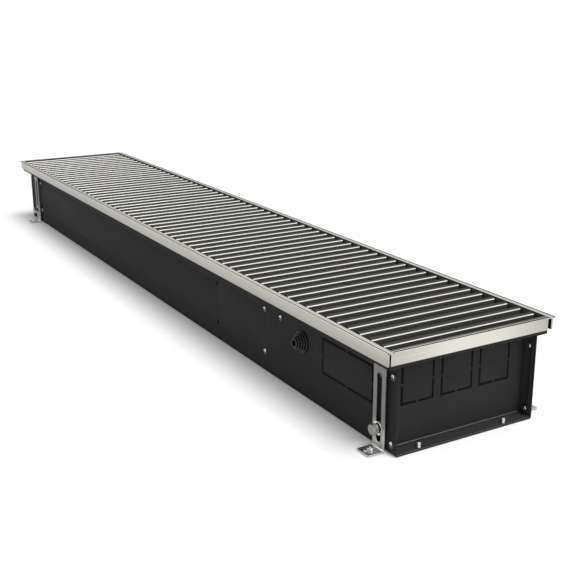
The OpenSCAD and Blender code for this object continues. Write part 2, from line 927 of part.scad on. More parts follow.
module foot_spacers() {
    color("#9a9a97") at_feet() ring_y(-foot_in_y, foot_standoff, washer_d, bolt_d + 2 * hole_play);
}

module foot_nuts() {
    color("#a8a8a4") at_feet() difference() {
        rod_y([0, -nut_in_y - nut_h, 0], nut_h, nut_d);
        rod_y([0, -nut_in_y - nut_h - over, 0], nut_h + 2 * over, bolt_d + 2 * run_play);
    }
}

// Plates behind the side walls that spread the load of the feet
module foot_backing_plates() {
    color("#8a8b8c") front_and_back() for (x = [foot_near_x, foot_far_x]) difference() {
        block([x - backing_w / 2, -wall_in, backing_low],
            [x + backing_side, -wall_in + backing_t, backing_top]);
        rod_y([x, -wall_in - over, bolt_z], backing_t + 2 * over, bolt_d + 2 * hole_play);
        rod_y([x - foot_rivet_in, -wall_in - over, rivet_high], backing_t + 2 * over,
            rivet_d + 2 * rivet_play);
    }
}

// Slotted levelling screw in the floor of an end recess
module levelling_screw(x, y) {
    color("#bcbcb8") difference() {
        rod_z([x, y, 0], level_l, level_d);
        block([x - level_d, y - level_slot_w / 2, level_l - level_slot_h],
            [x + level_d, y + level_slot_w / 2, level_l + over]);
    }
}

module levelling_screw_near_front() {
    levelling_screw(casing_l / 2 - level_in, level_places[0]);
}

module levelling_screw_near_back() {
    levelling_screw(casing_l / 2 - level_in, level_places[1]);
}

module levelling_screw_far_front() {
    levelling_screw(-casing_l / 2 + level_in, level_places[0]);
}

module levelling_screw_far_back() {
    levelling_screw(-casing_l / 2 + level_in, level_places[1]);
}

// Plate across the casing, riveted to both walls by its flanges, with the holes for the tubes
module cross_plate(x, cable_hole) {
    low = sheet_t + fold_r;
    color("#4a4b4c") difference() {
        union() {
            block([x, -wall_in, low], [x + sheet_t, wall_in, cross_plate_top]);
            front_and_back() block([x, -wall_in, low], [x + flange_w, -wall_in + sheet_t, cross_plate_top]);
        }
        for (p = tube_places) rod_x([x - over, p[0], p[1]], sheet_t + 2 * over, tube_d + 2 * tube_hole_play);
        front_and_back() for (z = [rivet_low_z, rivet_high]) {
            rod_y([x + flange_w / 2, -wall_in - over, z], sheet_t + 2 * over, rivet_d + 2 * rivet_play);
        }
        if (cable_hole) {
            rod_x([x - over, cable_hole_y, cross_plate_top - cable_hole_in],
                sheet_t + 2 * over, cable_hole_d);
        }
    }
}

tube_places = [
    for (z = [-1, 1]) each [
        for (y = [-1, 1]) [fins_y + y * tube_spacing_y / 2, fins_mid_z + z * tube_spacing_z / 2]
    ]
];

module partition_plate() {
    cross_plate(partition_x, true);
}

module carrier_plate() {
    cross_plate(carrier_x, false);
}

// Heat exchanger: fins with collars that stand one against the next round each tube
module fin_block() {
    count = floor((fins_x1 - fins_x0 - fin_t) / fin_pitch);
    l = count * fin_pitch + fin_t;
    color("#b6b8ba") difference() {
        union() {
            for (i = [0 : count]) {
                block([fins_x0 + i * fin_pitch, fins_y - fins_w / 2, fins_low],
                    [fins_x0 + i * fin_pitch + fin_t, fins_y + fins_w / 2, fins_low + fins_h]);
            }
            for (p = tube_places) {
                rod_x([fins_x0, p[0], p[1]], l, tube_d + 2 * tube_play + 2 * collar_t);
            }
        }
        for (p = tube_places) rod_x([fins_x0 - over, p[0], p[1]], l + 2 * over, tube_d + 2 * tube_play);
    }
}

// Hairpin tube at height z: two straight legs and the bend at the far end
module hairpin(z) {
    color("#b8734a") {
        for (s = [-1, 1]) difference() {
            rod_x([bend_x, fins_y + s * tube_spacing_y / 2, z], tube_end_x - bend_x, tube_d);
            rod_x([bend_x - over, fins_y + s * tube_spacing_y / 2, z],
                tube_end_x - bend_x + 2 * over, tube_d - 2 * tube_wall);
        }
        translate([bend_x, fins_y, z]) rotate([0, 0, 90]) rotate_extrude(angle = 180) {
            translate([tube_spacing_y / 2, 0]) difference() {
                circle(d = tube_d);
                circle(d = tube_d - 2 * tube_wall);
            }
        }
    }
}

module hairpin_tube_lower() {
    hairpin(fins_mid_z - tube_spacing_z / 2);
}

module hairpin_tube_upper() {
    hairpin(fins_mid_z + tube_spacing_z / 2);
}

// Upright bend that leads from the lower to the upper hairpin, soldered over the tube ends
module return_bend() {
    d_in = tube_d + 2 * tube_play;
    d_out = d_in + 2 * bend_socket_t;
    color("#b8734a") translate([tube_end_x, fins_y + tube_spacing_y / 2, fins_mid_z]) {
        rotate([-90, 0, 0]) rotate([0, 0, -90]) rotate_extrude(angle = 180) {
            translate([tube_spacing_z / 2, 0]) difference() {
                circle(d = d_out);
                circle(d = d_in);
            }
        }
        for (s = [-1, 1]) difference() {
            rod_x([-socket_l, 0, s * tube_spacing_z / 2], socket_l, d_out);
            rod_x([-socket_l - over, 0, s * tube_spacing_z / 2], socket_l + 2 * over, d_in);
        }
    }
}

// Brass connector on a tube end, with the socket for a half-inch pipe thread
module pipe_connector(z, vent) {
    x0 = tube_end_x - socket_l;
    y = fins_y - tube_spacing_y / 2;
    color("#b79a55") difference() {
        union() {
            rod_x([x0, y, z], connector_l, connector_d);
            translate([x0 + connector_l - connector_hex_l, y, z]) rotate([0, 90, 0]) {
                cylinder(h = connector_hex_l, r = connector_hex_af / 2 / cos(30), $fn = 6);
            }
        }
        rod_x([x0 - over, y, z], socket_l + over, tube_d + 2 * tube_play);
        rod_x([x0, y, z], connector_l, tube_d - 2 * tube_wall);
        rod_x([x0 + connector_l - pipe_bore_l, y, z], pipe_bore_l + over, pipe_bore_d);
        if (vent) {
            rod_z([tube_end_x + vent_x_in, y, z + connector_d / 2 - vent_sink], vent_h,
                vent_d + 2 * lay_play);
            rod_z([tube_end_x + vent_x_in, y, z], vent_h, vent_bore_d);
        }
    }
}

module pipe_connector_supply() {
    pipe_connector(fins_mid_z - tube_spacing_z / 2, false);
}

module pipe_connector_return() {
    pipe_connector(fins_mid_z + tube_spacing_z / 2, true);
}

vent_low = fins_mid_z + tube_spacing_z / 2 + connector_d / 2 - vent_sink;

module vent_valve() {
    x = tube_end_x + vent_x_in;
    y = fins_y - tube_spacing_y / 2;
    color("#b79a55") difference() {
        union() {
            rod_z([x, y, vent_low], vent_h - vent_step_h, vent_d);
            rod_z([x, y, vent_low], vent_h, vent_step_d);
        }
        rod_z([x, y, vent_low + vent_h - vent_bore_h], vent_bore_h + over, vent_bore_d + 2 * run_play);
    }
}

module vent_screw() {
    x = tube_end_x + vent_x_in;
    y = fins_y - tube_spacing_y / 2;
    top = vent_low + vent_h + vent_screw_gap;
    color("#c8c8c4") difference() {
        union() {
            rod_z([x, y, top - vent_bore_h + vent_screw_gap], vent_bore_h, vent_bore_d);
            rod_z([x, y, top], vent_screw_head_h, vent_screw_head_d);
        }
        block([x - vent_screw_head_d, y - level_slot_w / 2, top + vent_screw_head_h - level_slot_h],
            [x + vent_screw_head_d, y + level_slot_w / 2, top + vent_screw_head_h + over]);
    }
}

// Fan housing: a scroll that opens upwards and towards the fins, a tongue and two end plates
function scroll_at(i) = [fan_y, fan_z] + polar(
    impeller_d / 2 + scroll_near + (scroll_far - scroll_near) * i / scroll_steps,
    scroll_from + (scroll_to - scroll_from) * i / scroll_steps);

module fan_sheets() {
    scroll = concat(
        [[inlet_y, inlet_z]],
        [for (i = [0 : scroll_steps]) scroll_at(i)],
        [[outlet_y, outlet_z]]
    );
    tongue_r = impeller_d / 2 + scroll_near;
    tongue = concat(
        [[tongue_lip_y, tongue_lip_z]],
        [for (i = [0 : 2]) [fan_y, fan_z] + polar(tongue_r, tongue_from + (tongue_to - tongue_from) * i / 2)]
    );
    polygon(strip(scroll, scroll_t, scroll_t, 1));
    polygon(strip(tongue, scroll_t, scroll_t, 1));
}

module fan_end_plate(x, d) {
    difference() {
        block([x, fan_plate_y0, sheet_t], [x + fan_plate_t, fan_plate_y1, fan_plate_top]);
        rod_x([x - over, fan_y, fan_z], fan_plate_t + 2 * over, d);
    }
}

module fan_housing() {
    color("#7d8083") {
        along_x(fan_x0 + fan_plate_t / 2, fan_x1 + fan_plate_t / 2) fan_sheets();
        fan_end_plate(fan_x0, bearing_d + 2 * lay_play);
        fan_end_plate(fan_x1, motor_boss_d + 2 * lay_play);
    }
}

// One curved blade, drawn across the axis, from the inner to the outer radius of the blade ring
module blade() {
    r1 = impeller_d / 2 - disc_t / 2;
    r0 = r1 * blade_in_share;
    function at(i, d) = polar(r0 + (r1 - r0) * i / blade_steps + d, blade_lean * pow(i / blade_steps, 2));
    function side(s) = [
        for (i = [0 : blade_steps])
            at(i, 0) + s * blade_t / 2 * left_of(unit(at(i + 1, 0) - at(i, 0)))
    ];
    polygon(concat(side(1), reversed(side(-1))));
}

module fan_impeller() {
    l = impeller_x1 - impeller_x0;
    step = (l - disc_t) / section_n;
    color("#3a3d40") translate([0, fan_y, fan_z]) {
        along_x(impeller_x0 + disc_t / 2, impeller_x1 - disc_t / 2) {
            for (i = [0 : blade_n - 1]) rotate(360 * i / blade_n) blade();
        }
        for (i = [0 : section_n]) rod_x([impeller_x0 + i * step, 0, 0], disc_t, impeller_d);
        rod_x([fan_x0 - bearing_l / 2 + shaft_gap, 0, 0],
            impeller_x0 - fan_x0 + bearing_l / 2 - shaft_gap + disc_t / 2, shaft_d);
        rod_x([impeller_x1 - disc_t / 2, 0, 0],
            fan_x1 + shaft_bore_l - shaft_gap - impeller_x1 + disc_t / 2, shaft_d);
    }
}

module fan_bearing() {
    x0 = fan_x0 - bearing_l / 2;
    color("#26272a") difference() {
        union() {
            rod_x([x0, fan_y, fan_z], bearing_l, bearing_d);
            rod_x([fan_x0 + fan_plate_t, fan_y, fan_z], bearing_flange_t, bearing_flange_d);
        }
        rod_x([x0 - over, fan_y, fan_z], bearing_l + 2 * over, shaft_d + 2 * run_play);
    }
}

module fan_motor() {
    x0 = fan_x1 + fan_plate_t;
    color("#2b2d30") difference() {
        union() {
            rod_x([fan_x1, fan_y, fan_z], motor_boss_l, motor_boss_d);
            rod_x([x0, fan_y, fan_z], motor_l, motor_d - 2 * motor_rib_h);
            translate([x0, fan_y, fan_z]) for (i = [0 : motor_rib_n - 1]) {
                rotate([360 * i / motor_rib_n, 0, 0]) {
                    block([0, 0, -motor_rib_w / 2], [motor_l, motor_d / 2, motor_rib_w / 2]);
                }
            }
        }
        rod_x([fan_x1 - over, fan_y, fan_z], shaft_bore_l + over, shaft_d + 2 * run_play);
    }
}

// Stepped rubber gland: outer steps, a neck in the wall's hole, an inner flange and the cable hole
module cable_gland() {
    step_h = gland_out / gland_steps;
    r_tip = gland_d / 2 * gland_tip_share;
    function step_r(i) = gland_d / 2 + (r_tip - gland_d / 2) * i / (gland_steps - 1);
    steps = [for (i = [0 : gland_steps - 1]) each [[step_r(i), i * step_h], [step_r(i), (i + 1) * step_h]]];
    color("#1b1b1c") translate([gland_x, -wall_out, gland_z]) rotate([90, 0, 0]) {
        rotate_extrude() polygon(concat(
            [[gland_bore_d / 2, -sheet_t - gland_inner_t], [gland_inner_d / 2, -sheet_t - gland_inner_t],
                [gland_inner_d / 2, -sheet_t], [gland_neck_d / 2, -sheet_t], [gland_neck_d / 2, 0]],
            steps,
            [[gland_bore_d / 2, gland_out]]
        ));
    }
}

// Angle on the inside of the front wall that takes the cable tie
module cable_saddle() {
    y = -wall_in;
    z0 = rivet_high - saddle_w / 2;
    color("#8a8b8c") difference() {
        union() {
            block([saddle_x - saddle_w / 2, y, z0], [saddle_x + saddle_w / 2, y + sheet_t, z0 + saddle_w]);
            block([saddle_x - saddle_w / 2, y, z0], [saddle_x + saddle_w / 2, y + saddle_arm, z0 + sheet_t]);
        }
        rod_y([saddle_x, y - over, rivet_high], sheet_t + 2 * over, rivet_d + 2 * rivet_play);
        slot_y = y + saddle_arm / 2 + sheet_t;
        block([saddle_x - saddle_slot_l / 2, slot_y, z0 - over],
            [saddle_x + saddle_slot_l / 2, slot_y + saddle_slot_w, z0 + sheet_t + over]);
    }
}

// Terminal box, its corners rounded by four upright rods
module box_outline(inset) {
    r = box_corner_r;
    l = box_l - 2 * inset;
    w = box_w - 2 * inset;
    square([l - 2 * r, w], center = true);
    square([l, w - 2 * r], center = true);
    for (x = [-1, 1]) for (y = [-1, 1]) translate([x * (l / 2 - r), y * (w / 2 - r)]) circle(r = r);
}

module at_box_corners() {
    d = box_wall + box_pillar_d / 2;
    for (x = [-1, 1]) for (y = [-1, 1]) {
        translate([x * (box_l / 2 - d), y * (box_w / 2 - d), 0]) children();
    }
}

module terminal_box() {
    color("#c9cbc8") translate([box_x, box_y, sheet_t]) difference() {
        union() {
            difference() {
                linear_extrude(height = box_h) box_outline(0);
                translate([0, 0, box_wall]) linear_extrude(height = box_h) box_outline(box_wall);
            }
            at_box_corners() cylinder(h = box_h, d = box_pillar_d);
        }
        at_box_corners() translate([0, 0, box_h - box_screw_l]) cylinder(h = box_h, d = box_screw_d);
        for (y = [-1, 1]) {
            rod_x([-box_l / 2 - over, y * box_w / 4, box_h / 2], box_wall + 2 * over, box_hole_d);
        }
    }
}

module terminal_box_lid() {
    inset = box_wall + lid_play;
    color("#d3d5d2") translate([box_x, box_y, sheet_t + box_h]) difference() {
        union() {
            linear_extrude(height = lid_t) box_outline(0);
            difference() {
                translate([0, 0, -lid_rim_h]) {
                    linear_extrude(height = lid_rim_h + lid_t / 2) box_outline(inset);
                }
                translate([0, 0, -lid_rim_h - over]) {
                    linear_extrude(height = lid_rim_h + over) box_outline(inset + lid_rim_t);
                }
                at_box_corners() translate([0, 0, -lid_rim_h - over]) {
                    cylinder(h = lid_rim_h + over, d = box_pillar_d + 2 * lid_play);
                }
            }
        }
        at_box_corners() translate([0, 0, -over]) cylinder(h = lid_t + 2 * over, d = box_screw_d);
    }
}

module terminal_box_screws() {
    color("#9fa09e") translate([box_x, box_y, sheet_t + box_h]) at_box_corners() {
        difference() {
            union() {
                translate([0, 0, -box_screw_l / 2]) {
                    cylinder(h = box_screw_l / 2 + lid_t + lay_play, d = box_screw_d - 2 * run_play);
                }
                translate([0, 0, lid_t]) cylinder(h = box_screw_head_h, d = box_screw_head_d);
            }
            block([-box_screw_head_d, -level_slot_w / 2, lid_t + box_screw_head_h - level_slot_h],
                [box_screw_head_d, level_slot_w / 2, lid_t + box_screw_head_h + over]);
        }
    }
}

trough();
end_panel_near();
end_panel_far();
knock_out_seals();
trim_side_front();
trim_side_back();
trim_end_near();
trim_end_far();
trim_corner_keys();
grille_rest_front();
grille_rest_back();
end_guard_near();
end_guard_far();
grille_bars();
grille_wires();
grille_sleeves();
foot_near_front();
foot_near_back();
foot_far_front();
foot_far_back();
foot_screw_near_front();
foot_screw_near_back();
foot_screw_far_front();
foot_screw_far_back();
foot_bolts();
foot_washers();
foot_spring_washers();
foot_spacers();
foot_backing_plates();
foot_nuts();
blind_rivets();
levelling_screw_near_front();
levelling_screw_near_back();
levelling_screw_far_front();
levelling_screw_far_back();
partition_plate();
carrier_plate();
fin_block();
hairpin_tube_lower();
hairpin_tube_upper();
return_bend();
pipe_connector_supply();
pipe_connector_return();
vent_valve();
vent_screw();
fan_housing();
fan_impeller();
fan_bearing();
fan_motor();
cable_gland();
cable_saddle();
terminal_box();
terminal_box_lid();
terminal_box_screws();
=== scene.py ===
import math

import bmesh
import bpy
from mathutils import Matrix, Vector


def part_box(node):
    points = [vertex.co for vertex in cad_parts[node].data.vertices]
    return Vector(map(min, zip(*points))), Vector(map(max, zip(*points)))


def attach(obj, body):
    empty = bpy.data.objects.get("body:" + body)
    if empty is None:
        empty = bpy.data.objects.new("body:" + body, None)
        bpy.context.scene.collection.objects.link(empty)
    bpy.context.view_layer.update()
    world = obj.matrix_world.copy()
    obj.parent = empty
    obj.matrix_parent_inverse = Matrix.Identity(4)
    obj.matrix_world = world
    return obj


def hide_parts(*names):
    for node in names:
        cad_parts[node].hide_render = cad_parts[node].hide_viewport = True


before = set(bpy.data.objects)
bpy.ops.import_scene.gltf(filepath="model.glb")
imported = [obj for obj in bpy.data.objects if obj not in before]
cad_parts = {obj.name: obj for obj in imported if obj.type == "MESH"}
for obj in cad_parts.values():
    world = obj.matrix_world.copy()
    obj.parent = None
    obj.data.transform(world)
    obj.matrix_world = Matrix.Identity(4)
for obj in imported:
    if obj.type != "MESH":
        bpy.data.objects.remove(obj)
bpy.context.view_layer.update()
# The scene is in metres. Sizes with MM beside them are metres too, and the places and outlines of
# the small parts are in millimetres until they are built.
MM = 0.001
# Corners of a CAD mesh closer than this are one, and folds flatter than this are no edge
SAME_PLACE, FLAT_DEGREES = 0.003 * MM, 0.6
# Edges sharper than this are rounded
SHARP_DEGREES = 50
# A noise texture stays mostly between these two values
NOISE_LOW, NOISE_HIGH = 0.3, 0.7

# Camera of the photograph, solved from the casing's edges, in metres and unit vectors
CAMERA_PLACE = Vector((1.5619, -0.7317, 0.5248))
CAMERA_RIGHT = Vector((0.50268, 0.86446, -0.00297))
CAMERA_DOWN = Vector((0.25106, -0.14927, -0.95639))
CAMERA_LENS = 60.48


def linear(code):
    """An sRGB hex colour as the linear values that a shader socket takes, opaque."""
    parts = [int(code[i:i + 2], 16) / 255 for i in (1, 3, 5)]
    return tuple(c / 12.92 if c <= 0.04045 else ((c + 0.055) / 1.055) ** 2.4 for c in parts) + (1.0,)


def add(tree, kind, settings=None, values=None, links=None):
    """Adds a node, sets its properties and input values, and links outputs into its inputs."""
    node = tree.nodes.new(kind)
    for key, value in (settings or {}).items():
        setattr(node, key, value)
    for key, value in (values or {}).items():
        node.inputs[key].default_value = value
    for key, output in (links or {}).items():
        tree.links.new(output, node.inputs[key])
    return node


# Materials

def summed(tree, total, swing, share):
    """Adds a pattern's swing, times its share, to the sum of the patterns before it."""
    part = add(tree, "ShaderNodeMath", {"operation": "MULTIPLY"}, {1: share}, {0: swing})
    if total is None:
        return part.outputs[0]
    both = add(tree, "ShaderNodeMath", {"operation": "ADD"}, links={0: total, 1: part.outputs[0]})
    return both.outputs[0]


def surface(name, colour, rough, patterns, metallic=0.0, **sockets):
    """A finish with one base colour. Each pattern is a dictionary: kind, size (mm along X, Y, Z), and
    how far it moves the colour (share), the roughness (amount) and the height (mm). A ramp has no
    size: it runs along the object's axis, from low to high in mm, on both sides of the middle."""
    material = bpy.data.materials.new(name)
    material.use_nodes = True
    tree = material.node_tree
    shader = tree.nodes["Principled BSDF"]
    shader.inputs["Metallic"].default_value = metallic
    for key, value in sockets.items():
        shader.inputs[key.replace("_", " ")].default_value = value
    place = add(tree, "ShaderNodeTexCoord").outputs["Object"]
    tint, gloss, normal = None, None, None
    for pattern in patterns:
        size = pattern.get("size", (1, 1, 1))
        where = add(tree, "ShaderNodeMapping", values={"Scale": [1 / (s * MM) for s in size]},
                    links={"Vector": place})
        if pattern["kind"] == "cells":
            texture = add(tree, "ShaderNodeTexVoronoi", values={"Scale": 1.0},
                          links={"Vector": where.outputs["Vector"]})
            value = add(tree, "ShaderNodeSeparateColor",
                        links={"Color": texture.outputs["Color"]}).outputs["Red"]
        elif pattern["kind"] == "ramp":
            along = add(tree, "ShaderNodeSeparateXYZ", links={"Vector": where.outputs["Vector"]})
            value = add(tree, "ShaderNodeMath", {"operation": "ABSOLUTE"},
                        links={0: along.outputs[pattern["axis"]]}).outputs[0]
        else:
            texture = add(tree, "ShaderNodeTexNoise",
                          values={"Scale": 1.0, "Detail": 2.0, "Roughness": 0.5},
                          links={"Vector": where.outputs["Vector"]})
            value = texture.outputs["Fac"]
        spread = add(tree, "ShaderNodeMapRange",
                     values={"From Min": pattern.get("low", NOISE_LOW),
                             "From Max": pattern.get("high", NOISE_HIGH),
                             "To Min": -1.0, "To Max": 1.0}, links={"Value": value})
        swing = spread.outputs["Result"]
        if "colour" in pattern:
            tint = summed(tree, tint, swing, pattern["colour"])
        if "rough" in pattern:
            gloss = summed(tree, gloss, swing, pattern["rough"])
        if "height" in pattern:
            bump = add(tree, "ShaderNodeBump", values={"Strength": 1.0, "Distance": pattern["height"] * MM},
                       links={"Height": swing})
            if normal is not None:
                tree.links.new(normal, bump.inputs["Normal"])
            normal = bump.outputs["Normal"]
    if tint is None:
        shader.inputs["Base Color"].default_value = linear(colour)
    else:
        level = add(tree, "ShaderNodeMath", {"operation": "ADD"}, {1: 1.0}, {0: tint})
        mixed = add(tree, "ShaderNodeVectorMath", {"operation": "SCALE"}, {0: linear(colour)[:3]},
                    {"Scale": level.outputs[0]})
        tree.links.new(mixed.outputs["Vector"], shader.inputs["Base Color"])
    if gloss is None:
        shader.inputs["Roughness"].default_value = rough
    else:
        total = add(tree, "ShaderNodeMath", {"operation": "ADD", "use_clamp": True}, {1: rough}, {0: gloss})
        tree.links.new(total.outputs[0], shader.inputs["Roughness"])
    if normal is not None:
        tree.links.new(normal, shader.inputs["Normal"])
    return material


# Polyester powder coat on folded sheet: an even, near-black film with a fine orange peel, which
# breaks reflections into soft grains; the peel is drawn at 1.6 mm so that it shows.
powder_coat = surface("black_polyester_powder_coat", "#323232", 0.66, [
    {"kind": "noise", "size": (1.6, 1.6, 1.6), "rough": 0.03, "height": 0.012},
    {"kind": "noise", "size": (140, 90, 60), "colour": 0.05, "rough": 0.04},
    {"kind": "noise", "size": (0.5, 0.5, 0.5), "colour": 0.06},
], IOR=1.5, Specular_IOR_Level=0.03)

# The end panels' bends at the bottom are painted paler, in a glossier coat: a painted highlight along the
# bend.
bend_painted_highlight = surface("glossy_powder_coat_bend_painted_highlight", "#6b6b6a", 0.35, [
    {"kind": "noise", "size": (3, 40, 3), "colour": 0.1, "rough": 0.05},
], IOR=1.5, Specular_IOR_Level=0.5)

# Natural anodised aluminium, brushed along the profile: long fine lines that stretch highlights.
# The lines are drawn 0.5 mm apart and 60 mm long. The upright face is painted paler towards the top and
# darker towards the bottom: a painted reflection of the shaded floor.
trim_long_finish = surface("brushed_anodised_aluminium_along_x", "#b3b0a8", 0.34, [
    {"kind": "noise", "size": (60, 0.5, 0.5), "colour": 0.07, "rough": 0.07, "height": 0.003},
    {"kind": "noise", "size": (160, 30, 9), "colour": 0.07, "rough": 0.04},
    {"kind": "ramp", "axis": "Z", "low": 119, "high": 137, "colour": 0.14},
], metallic=1.0)
# The short profiles' faces are painted darker towards their ends: painted shade.
trim_short_finish = surface("brushed_anodised_aluminium_along_y", "#cecbc4", 0.34, [
    {"kind": "noise", "size": (0.5, 60, 0.5), "colour": 0.07, "rough": 0.07, "height": 0.003},
    {"kind": "noise", "size": (30, 220, 30), "colour": 0.035, "rough": 0.03},
    {"kind": "ramp", "axis": "Y", "low": 40, "high": 129, "colour": -0.2},
], metallic=1.0)

# The long profiles' tops are painted paler than their faces, in a rougher finish: a painted highlight band.
trim_long_top_painted_highlight = surface("anodised_aluminium_top_painted_highlight", "#c6c4bd", 0.5, [
    {"kind": "noise", "size": (60, 0.5, 0.5), "colour": 0.05, "rough": 0.06, "height": 0.003},
], metallic=1.0)

# The short profiles' tops, with fine lines across: painted darker beside the grille, a painted shade,
# and paler along the last 5 mm before the outer edge, a painted highlight.
trim_short_top_painted_shade_and_highlight = surface("anodised_aluminium_top_painted_shade_and_highlight", "#a19f98", 0.42, [
    {"kind": "noise", "size": (0.5, 60, 0.5), "colour": 0.06, "rough": 0.06, "height": 0.003},
    {"kind": "ramp", "axis": "X", "low": 746.8, "high": 747.6, "colour": 0.65},
], metallic=1.0)

# The round outer edge is painted near-white and smoother: a painted highlight line.
trim_edge_painted_highlight = surface("aluminium_edge_painted_highlight", "#f1efe9", 0.24, [
    {"kind": "noise", "size": (30, 30, 0.5), "colour": 0.03, "rough": 0.05},
], metallic=1.0)

# Black painted shade: in the fine groove of the top, on the saw-cut ends of the short profiles and
# on all faces that look at the grille. It is dull, with brush marks.
painted_shade_black = surface("black_painted_shade", "#121211", 0.6, [
    {"kind": "noise", "size": (12, 12, 1.2), "colour": 0.15, "rough": 0.06},
], IOR=1.5, Specular_IOR_Level=0.2)

# Extruded aluminium bars: the tops are painted a dark warm grey, a painted reflection of a dark room, in a
# smooth satin with the die's faint lines along the bar, so their round edge takes one thin, sharp highlight.
bar_top_painted_shade = surface("satin_bar_top_painted_shade", "#4b4a46", 0.22, [
    {"kind": "noise", "size": (0.7, 80, 0.7), "colour": 0.05, "rough": 0.03},
    {"kind": "noise", "size": (24.3, 90, 24.3), "colour": 0.04, "rough": 0.02},
], metallic=1.0, Specular_Tint=(0.65, 0.65, 0.64, 1))
# Their sides are painted a lighter grey than the tops, matt: painted light on the bars' shaded fronts.
bar_side_painted_light = surface("matt_bar_side_painted_light", "#595751", 0.55, [
    {"kind": "noise", "size": (0.7, 80, 0.7), "colour": 0.05, "rough": 0.04},
    {"kind": "noise", "size": (24.3, 60, 24.3), "colour": 0.05},
], metallic=0.7)

# Their two upper edges are painted near-white: a painted highlight.
bar_edge_painted_highlight = surface("aluminium_bar_edge_painted_highlight", "#f0efea", 0.2, [
    {"kind": "noise", "size": (0.6, 70, 0.6), "colour": 0.03, "rough": 0.04},
], metallic=1.0)

# Zinc-plated and passivated steel strip: dull grey with cloudy patches and fine rolling lines.
plated_strip = surface("passivated_zinc_plated_strip", "#80807e", 0.42, [
    {"kind": "noise", "size": (7, 7, 12), "colour": 0.07, "rough": 0.06},
    {"kind": "noise", "size": (0.6, 0.6, 25), "colour": 0.05, "rough": 0.04, "height": 0.004},
], metallic=1.0)

# The feet are the same strip, painted paler below about 33 mm and darker above: a painted reflection of the
# bright floor.
feet_painted_reflection = surface("zinc_plated_feet_painted_reflection", "#9d9d9b", 0.42, [
    {"kind": "noise", "size": (7, 7, 12), "colour": 0.07, "rough": 0.06},
    {"kind": "noise", "size": (0.6, 0.6, 25), "colour": 0.05, "rough": 0.04, "height": 0.004},
    {"kind": "ramp", "axis": "Z", "low": 24, "high": 42, "colour": -0.42},
], metallic=1.0)

# The fold of the strip is painted nearly white: a painted highlight, with fine cracks across it.
fold_painted_highlight = surface("zinc_fold_painted_highlight", "#e9e9e5", 0.3, [
    {"kind": "noise", "size": (0.5, 3, 3), "colour": 0.06, "rough": 0.06},
], metallic=1.0)

# Bright zinc-plated fasteners: a light bluish metal with small turning marks and soft stains.
plated_fastener = surface("bright_zinc_plated_steel", "#e4e5e3", 0.22, [
    {"kind": "noise", "size": (0.6, 0.6, 0.6), "colour": 0.06, "rough": 0.06, "height": 0.004},
    {"kind": "noise", "size": (4, 4, 4), "colour": 0.07, "rough": 0.04},
], metallic=1.0)

# Zinc-plated rivet heads: a smooth pressed metal, so that each shows one bright spot.
plated_rivet = surface("zinc_plated_rivet_steel", "#e6e6e4", 0.14, [
    {"kind": "noise", "size": (2, 2, 2), "colour": 0.08, "rough": 0.05},
], metallic=1.0)

# The rivets' lower halves, their pits and their sides towards the connection end are painted dark and
# half dull: painted shade.
rivet_painted_shade = surface("zinc_plated_rivet_painted_shade", "#4c4c4b", 0.3, [
    {"kind": "noise", "size": (2, 2, 2), "colour": 0.1, "rough": 0.05},
], metallic=1.0)

# Zinc-plated bolt heads: the flat face is duller and greyer than the washers and the heads' sides.
plated_bolt = surface("zinc_plated_bolt_steel", "#8c8c89", 0.32, [
    {"kind": "noise", "size": (0.6, 0.6, 0.6), "colour": 0.06, "rough": 0.06, "height": 0.004},
    {"kind": "noise", "size": (4, 4, 4), "colour": 0.08, "rough": 0.04},
], metallic=1.0)

# Oiled spring steel: dark grey with a low sheen.
oiled_spring_steel = surface("oiled_spring_steel", "#4a4a48", 0.38, [
    {"kind": "noise", "size": (2, 2, 2), "colour": 0.10, "rough": 0.07, "height": 0.003},
], metallic=1.0)

# Hot-dip galvanised sheet: flat crystals of 9 mm that differ a little in shade and gloss.
galvanised_sheet = surface("hot_dip_galvanised_sheet", "#9b9ea0", 0.40, [
    {"kind": "cells", "size": (9, 9, 9), "colour": 0.09, "rough": 0.07, "low": 0.0, "high": 1.0},
    {"kind": "noise", "size": (1.5, 1.5, 1.5), "colour": 0.03, "height": 0.003},
], metallic=1.0)

# Mill-finish aluminium foil of the fins: bright, thin, with faint press marks.
fin_foil = surface("mill_finish_fin_aluminium", "#c2c4c6", 0.34, [
    {"kind": "noise", "size": (5, 1.2, 12), "colour": 0.06, "rough": 0.08, "height": 0.006},
], metallic=1.0)

# Drawn copper tube: warm, with darker oxide clouds and drawing lines along the tube.
copper_tube = surface("drawn_copper_tube", "#b87350", 0.30, [
    {"kind": "noise", "size": (60, 14, 14), "colour": 0.16, "rough": 0.08},
    {"kind": "noise", "size": (40, 0.6, 0.6), "colour": 0.05, "rough": 0.04, "height": 0.003},
], metallic=1.0)

# Turned brass fittings: yellow metal with fine rings from the lathe, drawn 0.7 mm apart.
turned_brass = surface("turned_brass", "#c39d54", 0.27, [
    {"kind": "noise", "size": (0.7, 30, 30), "colour": 0.05, "rough": 0.06, "height": 0.004},
    {"kind": "noise", "size": (12, 12, 12), "colour": 0.07, "rough": 0.04},
], metallic=1.0)

# Closed-cell foam sheet behind the knock-outs: deep black and matt, a dark sheet that stands for the shade
# behind the slits, with cut cells 0.8 mm wide.
foam_painted_shade = surface("black_foam_painted_shade", "#0b0b0b", 0.9, [
    {"kind": "cells", "size": (0.8, 0.8, 0.8), "colour": 0.15, "low": 0.0, "high": 1.0, "height": 0.05},
], IOR=1.5, Specular_IOR_Level=0.2)

# Moulded EPDM rubber: black, matt, with a faint grain and a little bloom.
moulded_rubber = surface("moulded_epdm_rubber", "#1d1d1e", 0.62, [
    {"kind": "noise", "size": (0.9, 0.9, 0.9), "rough": 0.05, "height": 0.010},
    {"kind": "noise", "size": (9, 9, 9), "colour": 0.12, "rough": 0.05},
], IOR=1.52)

